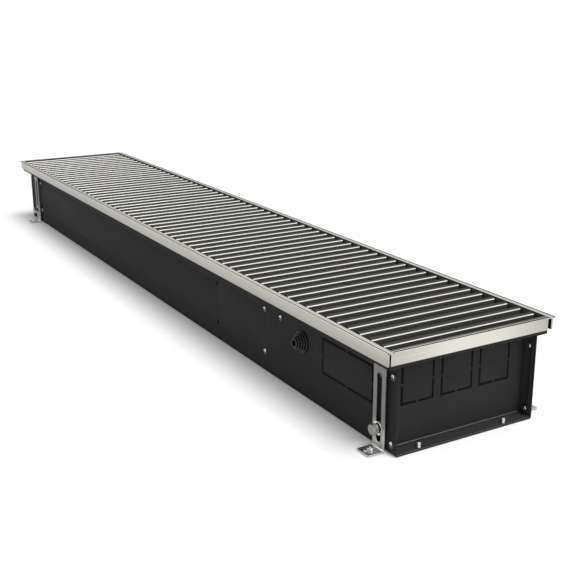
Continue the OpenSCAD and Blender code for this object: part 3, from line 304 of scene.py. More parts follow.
# Moulded EPDM of the gland, which is polished in its mould: deeper black with soft edge lights.
gland_rubber = surface("polished_epdm_rubber", "#080808", 0.3, [
    {"kind": "noise", "size": (0.9, 0.9, 0.9), "rough": 0.05, "height": 0.006},
    {"kind": "noise", "size": (9, 9, 9), "colour": 0.12, "rough": 0.05},
], IOR=1.52)

# Glass-filled nylon: dark moulded plastic with a fine spark-eroded texture.
moulded_nylon = surface("glass_filled_nylon", "#2c2d30", 0.50, [
    {"kind": "noise", "size": (0.8, 0.8, 0.8), "colour": 0.06, "rough": 0.05, "height": 0.008},
    {"kind": "noise", "size": (30, 30, 30), "colour": 0.06},
], IOR=1.53)

# Light grey ABS of the terminal box: an even moulding with a fine satin grain.
moulded_abs = surface("satin_grey_abs", "#c4c6c3", 0.46, [
    {"kind": "noise", "size": (0.9, 0.9, 0.9), "rough": 0.04, "height": 0.006},
    {"kind": "noise", "size": (40, 40, 40), "colour": 0.03, "rough": 0.03},
], IOR=1.54)


# Making pieces

def placed(name, data):
    """A new object in the scene, at the origin."""
    thing = bpy.data.objects.new(name, data)
    bpy.context.scene.collection.objects.link(thing)
    return thing


def in_metres(points):
    """The points of an outline that is drawn in millimetres."""
    return [(a * MM, b * MM) for a, b in points]


def smooth_by_angle(mesh, degrees):
    """Shades a mesh smooth, apart from its edges sharper than an angle."""
    mesh.polygons.foreach_set("use_smooth", [True] * len(mesh.polygons))
    mesh.set_sharp_from_angle(angle=math.radians(degrees))


def settle(piece, body, replaced):
    """Ties a finished piece to its body and the CAD nodes that it stands for."""
    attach(piece, body)
    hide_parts(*replaced)
    return piece


def piece_from(name, bm, material, degrees=35):
    """A piece with the built form as its mesh, in one material."""
    mesh = bpy.data.meshes.new(name)
    bm.to_mesh(mesh)
    bm.free()
    mesh.materials.append(material)
    smooth_by_angle(mesh, degrees)
    return placed(name, mesh)


def softened(node, name, material, body, width=0.25, degrees=35):
    """A piece with the shape of a CAD node, its sharp edges rounded by a width in millimetres."""
    bm = bmesh.new()
    bm.from_mesh(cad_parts[node].data)
    bmesh.ops.remove_doubles(bm, verts=bm.verts, dist=SAME_PLACE)
    bmesh.ops.dissolve_limit(bm, angle_limit=math.radians(FLAT_DEGREES), verts=bm.verts, edges=bm.edges)
    if width:
        limit = math.radians(SHARP_DEGREES)
        sharp = [e for e in bm.edges if e.is_manifold and e.calc_face_angle(0) > limit]
        bmesh.ops.bevel(bm, geom=sharp, offset=width * MM, segments=2, profile=0.5,
                        affect="EDGES", clamp_overlap=False)
    return settle(piece_from(name, bm, material, degrees), body, [node])


def between(value, limits):
    """Says whether a value lies inside a pair of limits."""
    return limits[0] < value < limits[1]


def finish_faces(piece, material, chosen):
    """Gives another finish to the faces that are chosen by their normal and their centre."""
    piece.data.materials.append(material)
    index = len(piece.data.materials) - 1
    for face in piece.data.polygons:
        if chosen(face.normal, face.center):
            face.material_index = index


def tree_of(name, inputs):
    """A geometry tree with a geometry input and the named inputs, and one geometry output."""
    tree = bpy.data.node_groups.new(name, "GeometryNodeTree")
    tree.interface.new_socket("Geometry", in_out="INPUT", socket_type="NodeSocketGeometry")
    for label, kind in inputs:
        tree.interface.new_socket(label, in_out="INPUT", socket_type=kind)
    tree.interface.new_socket("Geometry", in_out="OUTPUT", socket_type="NodeSocketGeometry")
    return tree, add(tree, "NodeGroupInput").outputs


def close_tree(tree, geometry, given):
    """Ends a tree: its copies are made real and get their material."""
    real = add(tree, "GeometryNodeRealizeInstances", links={0: geometry})
    done = add(tree, "GeometryNodeSetMaterial", links={"Geometry": real.outputs[0],
                                                       "Material": given["Material"]})
    add(tree, "NodeGroupOutput", links={0: done.outputs[0]})


def grown(piece, tree, degrees=35, **inputs):
    """Runs a geometry tree on a piece and leaves the result as the piece's plain mesh."""
    modifier = piece.modifiers.new("grow", "NODES")
    modifier.node_group = tree
    for item in tree.interface.items_tree:
        if item.in_out == "INPUT" and item.name in inputs:
            modifier[item.identifier] = inputs[item.name]
    graph = bpy.context.evaluated_depsgraph_get()
    mesh = bpy.data.meshes.new_from_object(piece.evaluated_get(graph))
    piece.modifiers.clear()
    piece.data = mesh
    smooth_by_angle(mesh, degrees)


# Copies of the piece in a straight row
row, given = tree_of("copies_in_a_row", [("Count", "NodeSocketInt"), ("Step", "NodeSocketVector"),
                                         ("Material", "NodeSocketMaterial")])
line = add(row, "GeometryNodeMeshLine", {"mode": "OFFSET"}, links={"Count": given["Count"],
                                                                   "Offset": given["Step"]})
copies = add(row, "GeometryNodeInstanceOnPoints", links={"Points": line.outputs[0],
                                                         "Instance": given["Geometry"]})
close_tree(row, copies.outputs[0], given)

# Copies of the piece round an axis along X through a centre
ring, given = tree_of("copies_round_x", [("Count", "NodeSocketInt"), ("Centre", "NodeSocketVector"),
                                         ("Material", "NodeSocketMaterial")])
line = add(ring, "GeometryNodeMeshLine", {"mode": "OFFSET"}, {"Offset": (0, 0, 0)},
           {"Count": given["Count"]})
index = add(ring, "GeometryNodeInputIndex")
share = add(ring, "ShaderNodeMath", {"operation": "DIVIDE"}, links={0: index.outputs[0],
                                                                    1: given["Count"]})
angle = add(ring, "ShaderNodeMath", {"operation": "MULTIPLY"}, {1: 2 * math.pi}, {0: share.outputs[0]})
turn = add(ring, "ShaderNodeCombineXYZ", links={"X": angle.outputs[0]})
copies = add(ring, "GeometryNodeInstanceOnPoints", links={"Points": line.outputs[0],
                                                          "Instance": given["Geometry"],
                                                          "Rotation": turn.outputs[0]})
moved = add(ring, "GeometryNodeTranslateInstances", links={"Instances": copies.outputs[0],
                                                           "Translation": given["Centre"]})
close_tree(ring, moved.outputs[0], given)

# Copies of the piece at the points of another object, turned about Z by that object's "turn" value
spread, given = tree_of("copies_at_places", [("Places", "NodeSocketObject"),
                                             ("Material", "NodeSocketMaterial")])
places = add(spread, "GeometryNodeObjectInfo", links={"Object": given["Places"]})
turned = add(spread, "GeometryNodeInputNamedAttribute", {"data_type": "FLOAT"}, {"Name": "turn"})
turn = add(spread, "ShaderNodeCombineXYZ", links={"Z": turned.outputs[0]})
copies = add(spread, "GeometryNodeInstanceOnPoints", links={"Points": places.outputs["Geometry"],
                                                            "Instance": given["Geometry"],
                                                            "Rotation": turn.outputs[0]})
close_tree(spread, copies.outputs[0], given)

# A tube along the piece's own edges
tube, given = tree_of("tube_along_path", [("Radius", "NodeSocketFloat"), ("Sides", "NodeSocketInt"),
                                          ("Material", "NodeSocketMaterial")])
path = add(tube, "GeometryNodeMeshToCurve", links={"Mesh": given["Geometry"]})
section = add(tube, "GeometryNodeCurvePrimitiveCircle", links={"Resolution": given["Sides"],
                                                               "Radius": given["Radius"]})
swept = add(tube, "GeometryNodeCurveToMesh", {}, {"Fill Caps": True},
            {"Curve": path.outputs[0], "Profile Curve": section.outputs[0]})
close_tree(tube, swept.outputs[0], given)

# The ridge of a screw thread about Z, from a height upwards
thread, given = tree_of("screw_thread", [("Radius", "NodeSocketFloat"), ("Turns", "NodeSocketFloat"),
                                         ("Length", "NodeSocketFloat"), ("Ridge", "NodeSocketFloat"),
                                         ("Start", "NodeSocketVector"), ("Material", "NodeSocketMaterial")])
helix = add(thread, "GeometryNodeCurveSpiral", {}, {"Resolution": 20},
            {"Rotations": given["Turns"], "Start Radius": given["Radius"],
             "End Radius": given["Radius"], "Height": given["Length"]})
section = add(thread, "GeometryNodeCurvePrimitiveCircle", {}, {"Resolution": 4},
              {"Radius": given["Ridge"]})
swept = add(thread, "GeometryNodeCurveToMesh", {}, {"Fill Caps": True},
            {"Curve": helix.outputs[0], "Profile Curve": section.outputs[0]})
lifted = add(thread, "GeometryNodeTransform", links={"Geometry": swept.outputs[0],
                                                     "Translation": given["Start"]})
joined = add(thread, "GeometryNodeJoinGeometry", links={0: lifted.outputs[0]})
thread.links.new(given["Geometry"], joined.inputs[0])
close_tree(thread, joined.outputs[0], given)


def lofted(bm, levels, sides=28):
    """Adds a closed solid round Z from (radius, height) levels, the first and last on the axis. A
    radius or a height may be a function of the angle."""
    rings = []
    for radius, height in levels:
        ring_points = []
        for i in range(sides):
            turn_at = 2 * math.pi * i / sides
            r = radius(turn_at) if callable(radius) else radius
            z = height(turn_at) if callable(height) else height
            ring_points.append((r * math.cos(turn_at), r * math.sin(turn_at), z))
        rings.append([bm.verts.new(p) for p in (ring_points[:1] if radius == 0 else ring_points)])
    for low, high in zip(rings, rings[1:]):
        for i in range(sides):
            j = (i + 1) % sides
            if len(low) == 1:
                bm.faces.new((low[0], high[j], high[i]))
            elif len(high) == 1:
                bm.faces.new((low[i], low[j], high[0]))
            else:
                bm.faces.new((low[i], low[j], high[j], high[i]))
    return bm


def hexagon(flats):
    """The radius of a hexagon of that width across flats, as a function of the angle."""
    return lambda a: flats / 2 / math.cos((a + math.pi / 6) % (math.pi / 3) - math.pi / 6)


def turned_ring(bm, profile, sides=28):
    """Adds a closed ring turned about Z. The profile is a closed loop of (radius, height)."""
    turns = [2 * math.pi * i / sides for i in range(sides)]
    rings = [[bm.verts.new((r * math.cos(a), r * math.sin(a), z)) for a in turns] for r, z in profile]
    for k, low in enumerate(rings):
        high = rings[(k + 1) % len(rings)]
        for i in range(sides):
            j = (i + 1) % sides
            bm.faces.new((low[i], low[j], high[j], high[i]))
    return bm


def rotated(bm, axis, degrees, verts=None):
    """Turns a form, or some of its corners, about an axis through the origin."""
    bmesh.ops.rotate(bm, cent=(0, 0, 0), matrix=Matrix.Rotation(math.radians(degrees), 3, axis),
                     verts=verts or bm.verts)
    return bm


def out_of_wall(bm):
    """Turns forms built along +Z so that they stand out along -Y."""
    return rotated(bm, "X", 90)


def faced_out(bm):
    """Turns the normals of closed forms outwards."""
    bmesh.ops.recalc_face_normals(bm, faces=bm.faces)
    return bm


def place_points(name, spots):
    """An unseen helper whose points say where copies go: (x, y, z) in mm and a turn in degrees."""
    mesh = bpy.data.meshes.new(name)
    mesh.from_pydata([tuple(Vector(s[:3]) * MM) for s in spots], [], [])
    turn_values = mesh.attributes.new("turn", "FLOAT", "POINT")
    turn_values.data.foreach_set("value", [math.radians(s[3]) for s in spots])
    return placed(name, mesh)


def spread_copies(name, bm, material, spots, body, replaced, degrees=35):
    """One piece with a copy of the form at every spot."""
    helper = place_points(name + "_places", spots)
    piece = piece_from(name, bm, material)
    grown(piece, spread, degrees, Places=helper, Material=material)
    bpy.data.objects.remove(helper)
    return settle(piece, body, replaced)


# Casing: folded sheets, edges softened as the powder film rounds them. The long walls' outer faces
# stand WALL mm from the middle. The folds at the floor, of the end panels and of the feet, lie below
# FOLD_TOP.
WALL, SHEET_T, FOLD_TOP = 107.5, 1.2, 14 * MM
for node, name in (("trough", "trough_sheet"), ("end_panel_near", "end_panel_near_sheet"),
                   ("end_panel_far", "end_panel_far_sheet")):
    sheet = softened(node, name, powder_coat, "casing", 0.15)
    if node != "trough":
        # The bends at the bottom get the painted highlight
        finish_faces(sheet, bend_painted_highlight, lambda n, c: (
            0.2 < n.z < 0.98 and abs(n.x) > 0.2 and c.z < FOLD_TOP))

# Trim frame: bright faces; tops with painted highlight and painted shade; the groove and the faces towards
# the grille painted black as shade. TRIM_EDGE is how far its outer edges stand from the middle, along X and
# along Y.
TRIM_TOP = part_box("trim_side_front")[1].z
TRIM_EDGE = (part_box("trim_end_near")[1].x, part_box("trim_side_back")[1].y)
# The groove is drawn wider than in the CAD: its inner side, found by its distance from the outer
# edge, moves further in. Below the groove the short profiles' legs end a little earlier.
GROOVE_INNER_SIDE, GROOVE_MORE = (1.55 * MM, 2.05 * MM), (1.6 * MM, 0.8 * MM)
GROOVE_FLOOR = TRIM_TOP - 1.2 * MM
LEG_FROM, LEG_SHORT = 120.1 * MM, 0.8 * MM
# Where the groove's own faces lie: from the outer edge inwards, and in height
GROOVE_WIDTH, GROOVE_HEIGHT = (0.7 * MM, 3.5 * MM), (TRIM_TOP - 1.1 * MM, TRIM_TOP - 0.3 * MM)
for node, axis, side, finish, top_finish in (
        ("trim_side_front", 1, -1, trim_long_finish, trim_long_top_painted_highlight),
        ("trim_side_back", 1, 1, trim_long_finish, trim_long_top_painted_highlight),
        ("trim_end_near", 0, 1, trim_short_finish, trim_short_top_painted_shade_and_highlight),
        ("trim_end_far", 0, -1, trim_short_finish, trim_short_top_painted_shade_and_highlight)):
    piece = softened(node, node + "_profile", finish, "casing", 0.15)
    for vertex in piece.data.vertices:
        if axis == 0 and abs(vertex.co.y) > LEG_FROM and vertex.co.z < GROOVE_FLOOR:
            vertex.co.y -= math.copysign(LEG_SHORT, vertex.co.y)
        inboard = TRIM_EDGE[axis] - abs(vertex.co[axis])
        if between(inboard, GROOVE_INNER_SIDE) and vertex.co.z > GROOVE_FLOOR:
            vertex.co[axis] -= math.copysign(GROOVE_MORE[axis], vertex.co[axis])
    # Tops: the long ones get a painted highlight, the short ones painted shade and a painted highlight
    finish_faces(piece, top_finish, lambda n, c: n.z > 0.9)
    # The long profiles' outer round edge gets the painted highlight
    if axis == 1:
        finish_faces(piece, trim_edge_painted_highlight, lambda n, c: 0.1 < n.z <= 0.95 and n.y * side > 0.3)
    # The faces towards the grille, the groove and the short profiles' cut ends are painted black as shade
    finish_faces(piece, painted_shade_black, lambda n, c: n[axis] * side < -0.6)
    finish_faces(piece, painted_shade_black, lambda n, c: (
        n.z > -0.5 and between(c.z, GROOVE_HEIGHT)
        and between(TRIM_EDGE[axis] - abs(c[axis]), GROOVE_WIDTH)))
    if axis == 0:
        finish_faces(piece, painted_shade_black, lambda n, c: abs(n.y) > 0.9)

# Grille bars: one hollow bar with round upper edges, repeated along X
bar_lo, bar_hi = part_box("grille_bars")
BAR_W, BAR_WALL, BAR_PITCH = 10 * MM, 1.6 * MM, 24.3 * MM
# Radii of the upper edges and of the crowned top, chamfer of the lower edges
BAR_EDGE, BAR_CROWN, BAR_CHAMFER = 2.6 * MM, 12 * MM, 0.3 * MM
# The bars end this much earlier than in the CAD
BAR_INSET = 1.2 * MM
# Sideways part of the normal on the edges painted with the highlight and on the upright sides
PAINTED_HIGHLIGHT_EDGE, UPRIGHT = (0.57, 0.93), 0.99
BAR_COUNT = round((bar_hi.x - bar_lo.x - BAR_W) / BAR_PITCH) + 1
bar_h = bar_hi.z - bar_lo.z


def arc(cx, cz, r, a0, a1, steps):
    """Points on a circle round (cx, cz), from one angle in degrees to another."""
    return [(cx + r * math.cos(math.radians(a0 + (a1 - a0) * i / steps)),
             cz + r * math.sin(math.radians(a0 + (a1 - a0) * i / steps))) for i in range(steps + 1)]


def inside_wall(place, size):
    """Where a point of the bar's outline lies on the inner side of its wall, along one direction."""
    share = min(max((place - BAR_CHAMFER) / (size - 2 * BAR_CHAMFER), 0), 1)
    return BAR_WALL + (size - 2 * BAR_WALL) * share


# The crown meets each edge round where both have the same slope
crown_tilt = math.degrees(math.asin((BAR_W / 2 - BAR_EDGE) / (BAR_CROWN - BAR_EDGE)))
crown_z = bar_h - BAR_CROWN
edge_z = crown_z + (BAR_CROWN - BAR_EDGE) * math.cos(math.radians(crown_tilt))
outer = ([(BAR_CHAMFER, 0), (BAR_W - BAR_CHAMFER, 0), (BAR_W, BAR_CHAMFER)]
         + arc(BAR_W - BAR_EDGE, edge_z, BAR_EDGE, 0, 90 - crown_tilt, 7)
         + arc(BAR_W / 2, crown_z, BAR_CROWN, 90 - crown_tilt, 90 + crown_tilt, 6)[1:-1]
         + arc(BAR_EDGE, edge_z, BAR_EDGE, 90 + crown_tilt, 180, 7) + [(0, BAR_CHAMFER)])
inner = [(inside_wall(x, BAR_W), inside_wall(z, bar_h)) for x, z in outer]
bm = bmesh.new()
loops = []
for outline, y in ((outer, bar_lo.y + BAR_INSET), (outer, bar_hi.y - BAR_INSET),
                   (inner, bar_hi.y - BAR_INSET), (inner, bar_lo.y + BAR_INSET)):
    loops.append([bm.verts.new((bar_lo.x + x, y, bar_lo.z + z)) for x, z in outline])
for k, a in enumerate(loops):
    b = loops[(k + 1) % len(loops)]
    for i in range(len(a)):
        j = (i + 1) % len(a)
        bm.faces.new((a[i], a[j], b[j], b[i]))
bars = piece_from("grille_bar_row", faced_out(bm), bar_top_painted_shade)
grown(bars, row, Count=BAR_COUNT, Step=(BAR_PITCH, 0, 0), Material=bar_top_painted_shade)
# The upright sides get the painted light, the round upper edges the painted highlight
finish_faces(bars, bar_side_painted_light, lambda n, c: abs(n.x) > UPRIGHT)
finish_faces(bars, bar_edge_painted_highlight, lambda n, c: n.z > 0.2 and between(abs(n.x), PAINTED_HIGHLIGHT_EDGE))
settle(bars, "grille", ["grille_bars"])

# Sleeves: short ribbed tubes between the bars on both wires
wire_lo, wire_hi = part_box("grille_wires")
wire_z = (wire_lo.z + wire_hi.z) / 2
WIRE_Y = 75 * MM
SLEEVE_L = BAR_PITCH - BAR_W
SLEEVE_BORE, SLEEVE_R, SLEEVE_NOTCH_R, SLEEVE_CHAMFER = 1.85 * MM, 3.5 * MM, 3.1 * MM, 0.3 * MM
NOTCH_HALF = 0.6 * MM
loop = [(SLEEVE_BORE, 0), (SLEEVE_R - SLEEVE_CHAMFER, 0), (SLEEVE_R, SLEEVE_CHAMFER)]
for z in (SLEEVE_L / 4, SLEEVE_L / 2, SLEEVE_L * 3 / 4):
    loop += [(SLEEVE_R, z - NOTCH_HALF), (SLEEVE_NOTCH_R, z), (SLEEVE_R, z + NOTCH_HALF)]
loop += [(SLEEVE_R, SLEEVE_L - SLEEVE_CHAMFER), (SLEEVE_R - SLEEVE_CHAMFER, SLEEVE_L),
         (SLEEVE_BORE, SLEEVE_L)]
bm = bmesh.new()
for y in (-WIRE_Y, WIRE_Y):
    known = set(bm.verts)
    turned_ring(bm, loop, 16)
    fresh = [v for v in bm.verts if v not in known]
    rotated(bm, "Y", 90, fresh)
    bmesh.ops.translate(bm, vec=(bar_lo.x + BAR_W, y, wire_z), verts=fresh)
sleeves = piece_from("grille_sleeve_row", faced_out(bm), moulded_nylon)
grown(sleeves, row, Count=BAR_COUNT - 1, Step=(BAR_PITCH, 0, 0), Material=moulded_nylon)
settle(sleeves, "grille", ["grille_sleeves"])

# Rivets: domed heads with the pit of the broken mandrel, and the tails inside the walls. Each place
# is x, z and the number of long walls that have a rivet there.
RIVETS = ([(x, z, 2) for x in (-736, 736) for z in (12.5, 98.5)]
          + [(x, z, 2) for x in (-662, 430.5) for z in (30, 94.5)]
          + [(x, 94.5, 2) for x in (714, -685)] + [(475.5, 94.5, 1)])
RIVET_R, RIVET_RIM, RIVET_DOME = 4.75, 0.45, 2.0
rivet_tail = [(0, -5.4), (2.6, -5.4), (3.3, -4.9), (3.4, -4.0), (3.3, -2.4), (2.4, -2.4), (2.4, 0)]
rivet_head = [(RIVET_R - 0.15, 0), (RIVET_R, 0.15)] + [
    (RIVET_R * math.cos(math.radians(d)), RIVET_RIM + RIVET_DOME * math.sin(math.radians(d)))
    for d in (0, 18, 36, 52, 66)]
rivet_pit = [(1.6, 2.42), (1.4, 2.3), (1.25, 1.3), (0.5, 1.1), (0, 1.15)]
bm = lofted(bmesh.new(), in_metres(rivet_tail + rivet_head + rivet_pit))
spots = [(x, -WALL, z, 0) for x, z, n in RIVETS] + [(x, WALL, z, 180) for x, z, n in RIVETS if n == 2]
rivets = spread_copies("blind_rivet_set", out_of_wall(faced_out(bm)), plated_rivet, spots, "casing",
                       ["blind_rivets"])
# Lower halves, pits and sides towards +X get the painted shade
finish_faces(rivets, rivet_painted_shade, lambda n, c: (
    abs(c.y) > WALL * MM and (n.z < 0.05 or n.x > 0.3 or abs(n.y) > 0.985)))

# Clamp bolts of the feet: chamfered hexagon heads, washers, split spring washers, spacers and nuts.
# The stack stands out from the wall: spacer, bracket, washer, spring washer, bolt head.
BOLT_X, BOLT_Z = (716, -683), 28
SPACER_T, BRACKET_T, WASHER_T, SPRING_T = 3.5, 2, 1.6, 2.2
BACKING_T, NUT_L = 2, 6.5
FLATS, HEAD, BOLT_L, SHANK_R = 13 * MM, 6.8 * MM, 19.6 * MM, 4 * MM
BEARING_T, HEAD_DISH = 0.3 * MM, 0.35 * MM
# Radius of the head's round face as a share of the flats, and of its dish as shares of that radius
FACE_SHARE, DISH_RIM, DISH_FLOOR = 0.475, 0.82, 0.76
# Slope of the 30 degree chamfer at the head's corners
CHAMFER_SLOPE = 0.58


def at_bolts(y):
    """The places of what sits on the four clamp bolts, y mm from the middle."""
    return [(x, -y, BOLT_Z, 0) for x in BOLT_X] + [(x, y, BOLT_Z, 180) for x in BOLT_X]


hex_r, face_r = hexagon(FLATS), FLATS * FACE_SHARE
bm = lofted(bmesh.new(), [
    (0, -BOLT_L), (SHANK_R - 0.6 * MM, -BOLT_L), (SHANK_R, 0.6 * MM - BOLT_L), (SHANK_R, 0),
    (face_r, 0), (face_r, BEARING_T), (hex_r, BEARING_T),
    (hex_r, lambda a: HEAD - (hex_r(a) - face_r) * CHAMFER_SLOPE - 0.05 * MM), (face_r, HEAD),
    (face_r * DISH_RIM, HEAD), (face_r * DISH_FLOOR, HEAD - HEAD_DISH), (0, HEAD - HEAD_DISH)], 72)
rotated(bm, "Z", 30)
HEAD_Y = WALL + SPACER_T + BRACKET_T + WASHER_T + SPRING_T
bolts = spread_copies("clamp_bolt_set", out_of_wall(faced_out(bm)), plated_bolt, at_bolts(HEAD_Y), "casing",
                      ["foot_bolts"], 25)
finish_faces(bolts, plated_fastener, lambda n, c: abs(n.y) < 0.7)


def washer(name, node, r_out, t, y, material):
    """Flat rings with softened outer edges on the four clamp bolts. Sizes are in millimetres."""
    r_in, soft = 4.3, 0.25
    ring_of = [(r_in, 0), (r_out - soft, 0), (r_out, soft), (r_out, t - soft), (r_out - soft, t), (r_in, t)]
    part = turned_ring(bmesh.new(), in_metres(ring_of), 40)
    spread_copies(name, out_of_wall(faced_out(part)), material, at_bolts(y), "casing", [node])


washer("flat_washer_set", "foot_washers", 8.8, WASHER_T, WALL + SPACER_T + BRACKET_T, plated_fastener)
washer("spacer_set", "foot_spacers", 8, SPACER_T, WALL, plated_strip)

# Spring washers: one turn with a gap, its ends a little apart
SPRING_R, SPRING_GAP, SPRING_LIFT, SPRING_STEPS = 6.4, 1.4, 0.25 * MM, 44
gap = math.asin(SPRING_GAP / 2 / SPRING_R)
spring_outline = in_metres([(4.35, 0.2), (SPRING_R - 0.2, 0.2), (SPRING_R, 0.4), (SPRING_R, 1.8),
                            (SPRING_R - 0.2, 2.0), (4.35, 2.0)])
bm = bmesh.new()
sections = []
for i in range(SPRING_STEPS + 1):
    a = math.pi / 2 + gap + (2 * math.pi - 2 * gap) * i / SPRING_STEPS
    lift = SPRING_LIFT * (i / SPRING_STEPS - 0.5)
    sections.append([bm.verts.new((r * math.cos(a), r * math.sin(a), z + lift)) for r, z in spring_outline])
for first, second in zip(sections, sections[1:]):
    for k in range(len(first)):
        j = (k + 1) % len(first)
        bm.faces.new((first[k], first[j], second[j], second[k]))
bm.faces.new(sections[0])
bm.faces.new(sections[-1])
spread_copies("spring_washer_set", out_of_wall(faced_out(bm)), oiled_spring_steel,
              at_bolts(HEAD_Y - SPRING_T), "casing", ["foot_spring_washers"])

# Round nuts behind the walls, with a collar on the backing plate
NUT_R, COLLAR_R, NUT_BORE = 5.2, 5.5, 4.05
bm = turned_ring(bmesh.new(), in_metres([
    (NUT_BORE, 0.3), (4.4, 0), (NUT_R - 0.3, 0), (NUT_R, 0.3), (NUT_R, 4.6), (COLLAR_R, 4.9),
    (COLLAR_R, NUT_L), (NUT_BORE, NUT_L)]), 48)
spread_copies("nut_set", out_of_wall(faced_out(bm)), plated_fastener,
              at_bolts(WALL - SHEET_T - BACKING_T - NUT_L), "casing", ["foot_nuts"], 25)

# Feet: each bracket and its socket-head screw are tied to one body
FEET = {"near_front": (BOLT_X[0], -1), "near_back": (BOLT_X[0], 1),
        "far_front": (BOLT_X[1], -1), "far_back": (BOLT_X[1], 1)}
SOCKET_Y, SOCKET_R, KNURL_DEPTH, KNURLS = 123.5, 4.5, 0.09, 36
socket = hexagon(4 * MM)


def knurl(angle):
    """The radius of the knurled head: full or a knurl's depth less."""
    return (SOCKET_R - KNURL_DEPTH * (math.cos(KNURLS * angle) < 0)) * MM


for corner, (x, side) in FEET.items():
    bracket = softened("foot_" + corner, "foot_bracket_" + corner, feet_painted_reflection, f"foot_{corner}_body",
                       0.3)
    # The fold gets the painted highlight
    finish_faces(bracket, fold_painted_highlight, lambda n, c: 0.15 < n.z < 0.97 and c.z < FOLD_TOP)
    shank = in_metres([(0, 0), (2.2, 0), (2.5, 0.3), (2.5, BRACKET_T), (SOCKET_R - 0.2, BRACKET_T)])
    rim = in_metres([(4.1, 5.4), (2.6, 5.4)])
    bm = lofted(bmesh.new(), shank + [(knurl, 2.2 * MM), (knurl, 4.9 * MM)] + rim + [
        (socket, 5.2 * MM), (socket, 3.4 * MM), (0, 3 * MM)], 72)
    bmesh.ops.translate(bm, vec=(x * MM, side * SOCKET_Y * MM, 0), verts=bm.verts)
    settle(piece_from("socket_screw_" + corner, faced_out(bm), plated_fastener), f"foot_{corner}_body",
           ["foot_screw_" + corner])

# Levelling screws: slotted grub screws with a real thread
LEVELS = {"near_front": (740, -70), "near_back": (740, 64), "far_front": (-740, -70), "far_back": (-740, 64)}
GRUB_L, GRUB_TOP_R, SLOT_WIDTH = 10 * MM, 2.7 * MM, 1 * MM
# The thread's start, length, turns, and the radii of its path and of its ridge
THREAD_FROM, THREAD_L, THREAD_TURNS, PATH_R, RIDGE_R = 0.6 * MM, 8 * MM, 8.0, 2.72 * MM, 0.26 * MM
# The top is two half discs with the slot between them, on a slightly thinner core
chord = math.asin(SLOT_WIDTH / 2 / GRUB_TOP_R)
half_disc = [chord + (math.pi - 2 * chord) * i / 12 for i in range(13)]
for corner, (x, y) in LEVELS.items():
    bm = lofted(bmesh.new(), in_metres([(0, 0), (2.1, 0), (2.6, 0.5), (2.6, 8.8), (0, 8.8)]))
    for s in (-1, 1):
        low, high = [[bm.verts.new((GRUB_TOP_R * math.cos(a), s * GRUB_TOP_R * math.sin(a), z))
                      for a in half_disc] for z in (8.7 * MM, GRUB_L)]
        bm.faces.new(low)
        bm.faces.new(high)
        for i in range(len(low)):
            j = (i + 1) % len(low)
            bm.faces.new((low[i], low[j], high[j], high[i]))
    bmesh.ops.translate(bm, vec=(x * MM, y * MM, 0), verts=bm.verts)
    screw = piece_from("grub_screw_" + corner, faced_out(bm), plated_fastener)
    grown(screw, thread, 40, Radius=PATH_R, Turns=THREAD_TURNS, Length=THREAD_L, Ridge=RIDGE_R,
          Start=(x * MM, y * MM, THREAD_FROM), Material=plated_fastener)
    settle(screw, f"levelling_{corner}_body", ["levelling_screw_" + corner])

# Cable gland: stepped rubber cone with soft edges, a ring groove in each step's face round the next
# step, and a bead inside the wall. TIP_SHARE is the last step's radius as a share of the first one's.
GLAND_X, GLAND_Z, GLAND_R, GLAND_BORE = 532, 78, 15.5, 5
GLAND_STEPS, STEP_L, TIP_SHARE = 5, 2.7, 0.44
BEAD_R, NECK_R = 14.5, 12
loop = [(GLAND_BORE, -3.4), (GLAND_BORE + 0.3, -3.6), (BEAD_R - 0.4, -3.6), (BEAD_R, -3.2),
        (BEAD_R, -1.3), (NECK_R, -1.2), (NECK_R, 0)]
radii = [GLAND_R * (1 + (TIP_SHARE - 1) * i / (GLAND_STEPS - 1)) for i in range(GLAND_STEPS)]
for i, r in enumerate(radii):
    z = STEP_L * i
    loop += [(r - 0.15, z + 0.05), (r, z + 0.4), (r - 0.1, z + 2.0), (r - 0.5, z + 2.6)]
    for smaller in radii[i + 1:i + 2]:
        loop += [(smaller + 1.1, z + STEP_L), (smaller + 0.9, z + 0.9), (smaller - 0.2, z + 0.9)]
loop += [(GLAND_BORE + 0.4, 13.4), (GLAND_BORE, 13.1)]
bm = turned_ring(bmesh.new(), in_metres(loop), 56)
spread_copies("stepped_gland", out_of_wall(faced_out(bm)), gland_rubber, [(GLAND_X, -WALL, GLAND_Z, 0)],
              "casing", ["cable_gland"], 50)

# Heat exchanger fins: thin pressed sheets with a zigzag wave, repeated along X
fin_lo, fin_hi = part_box("fin_block")
FIN_PITCH, FIN_T, FIN_MARGIN = 3 * MM, 0.25 * MM, 0.5 * MM
WAVES, WAVE_DEPTH = 14, 0.45 * MM
wave = [(WAVE_DEPTH * (i % 2), fin_lo.y + (fin_hi.y - fin_lo.y) * i / WAVES) for i in range(WAVES + 1)]
bm = bmesh.new()
sides = []
for x in (fin_lo.x + FIN_MARGIN, fin_lo.x + FIN_MARGIN + FIN_T):
    for z in (fin_lo.z, fin_hi.z):
        sides.append([bm.verts.new((x + depth, y, z)) for depth, y in wave])
for a, b in ((0, 1), (1, 3), (3, 2), (2, 0)):
    for i in range(WAVES):
        bm.faces.new((sides[a][i], sides[a][i + 1], sides[b][i + 1], sides[b][i]))
for i in (0, WAVES):
    bm.faces.new((sides[0][i], sides[1][i], sides[3][i], sides[2][i]))
fins = piece_from("pressed_fin_stack", faced_out(bm), fin_foil)
fin_count = int((fin_hi.x - fin_lo.x - 4 * FIN_MARGIN) / FIN_PITCH) + 1
grown(fins, row, 20, Count=fin_count, Step=(FIN_PITCH, 0, 0), Material=fin_foil)
settle(fins, "casing", ["fin_block"])

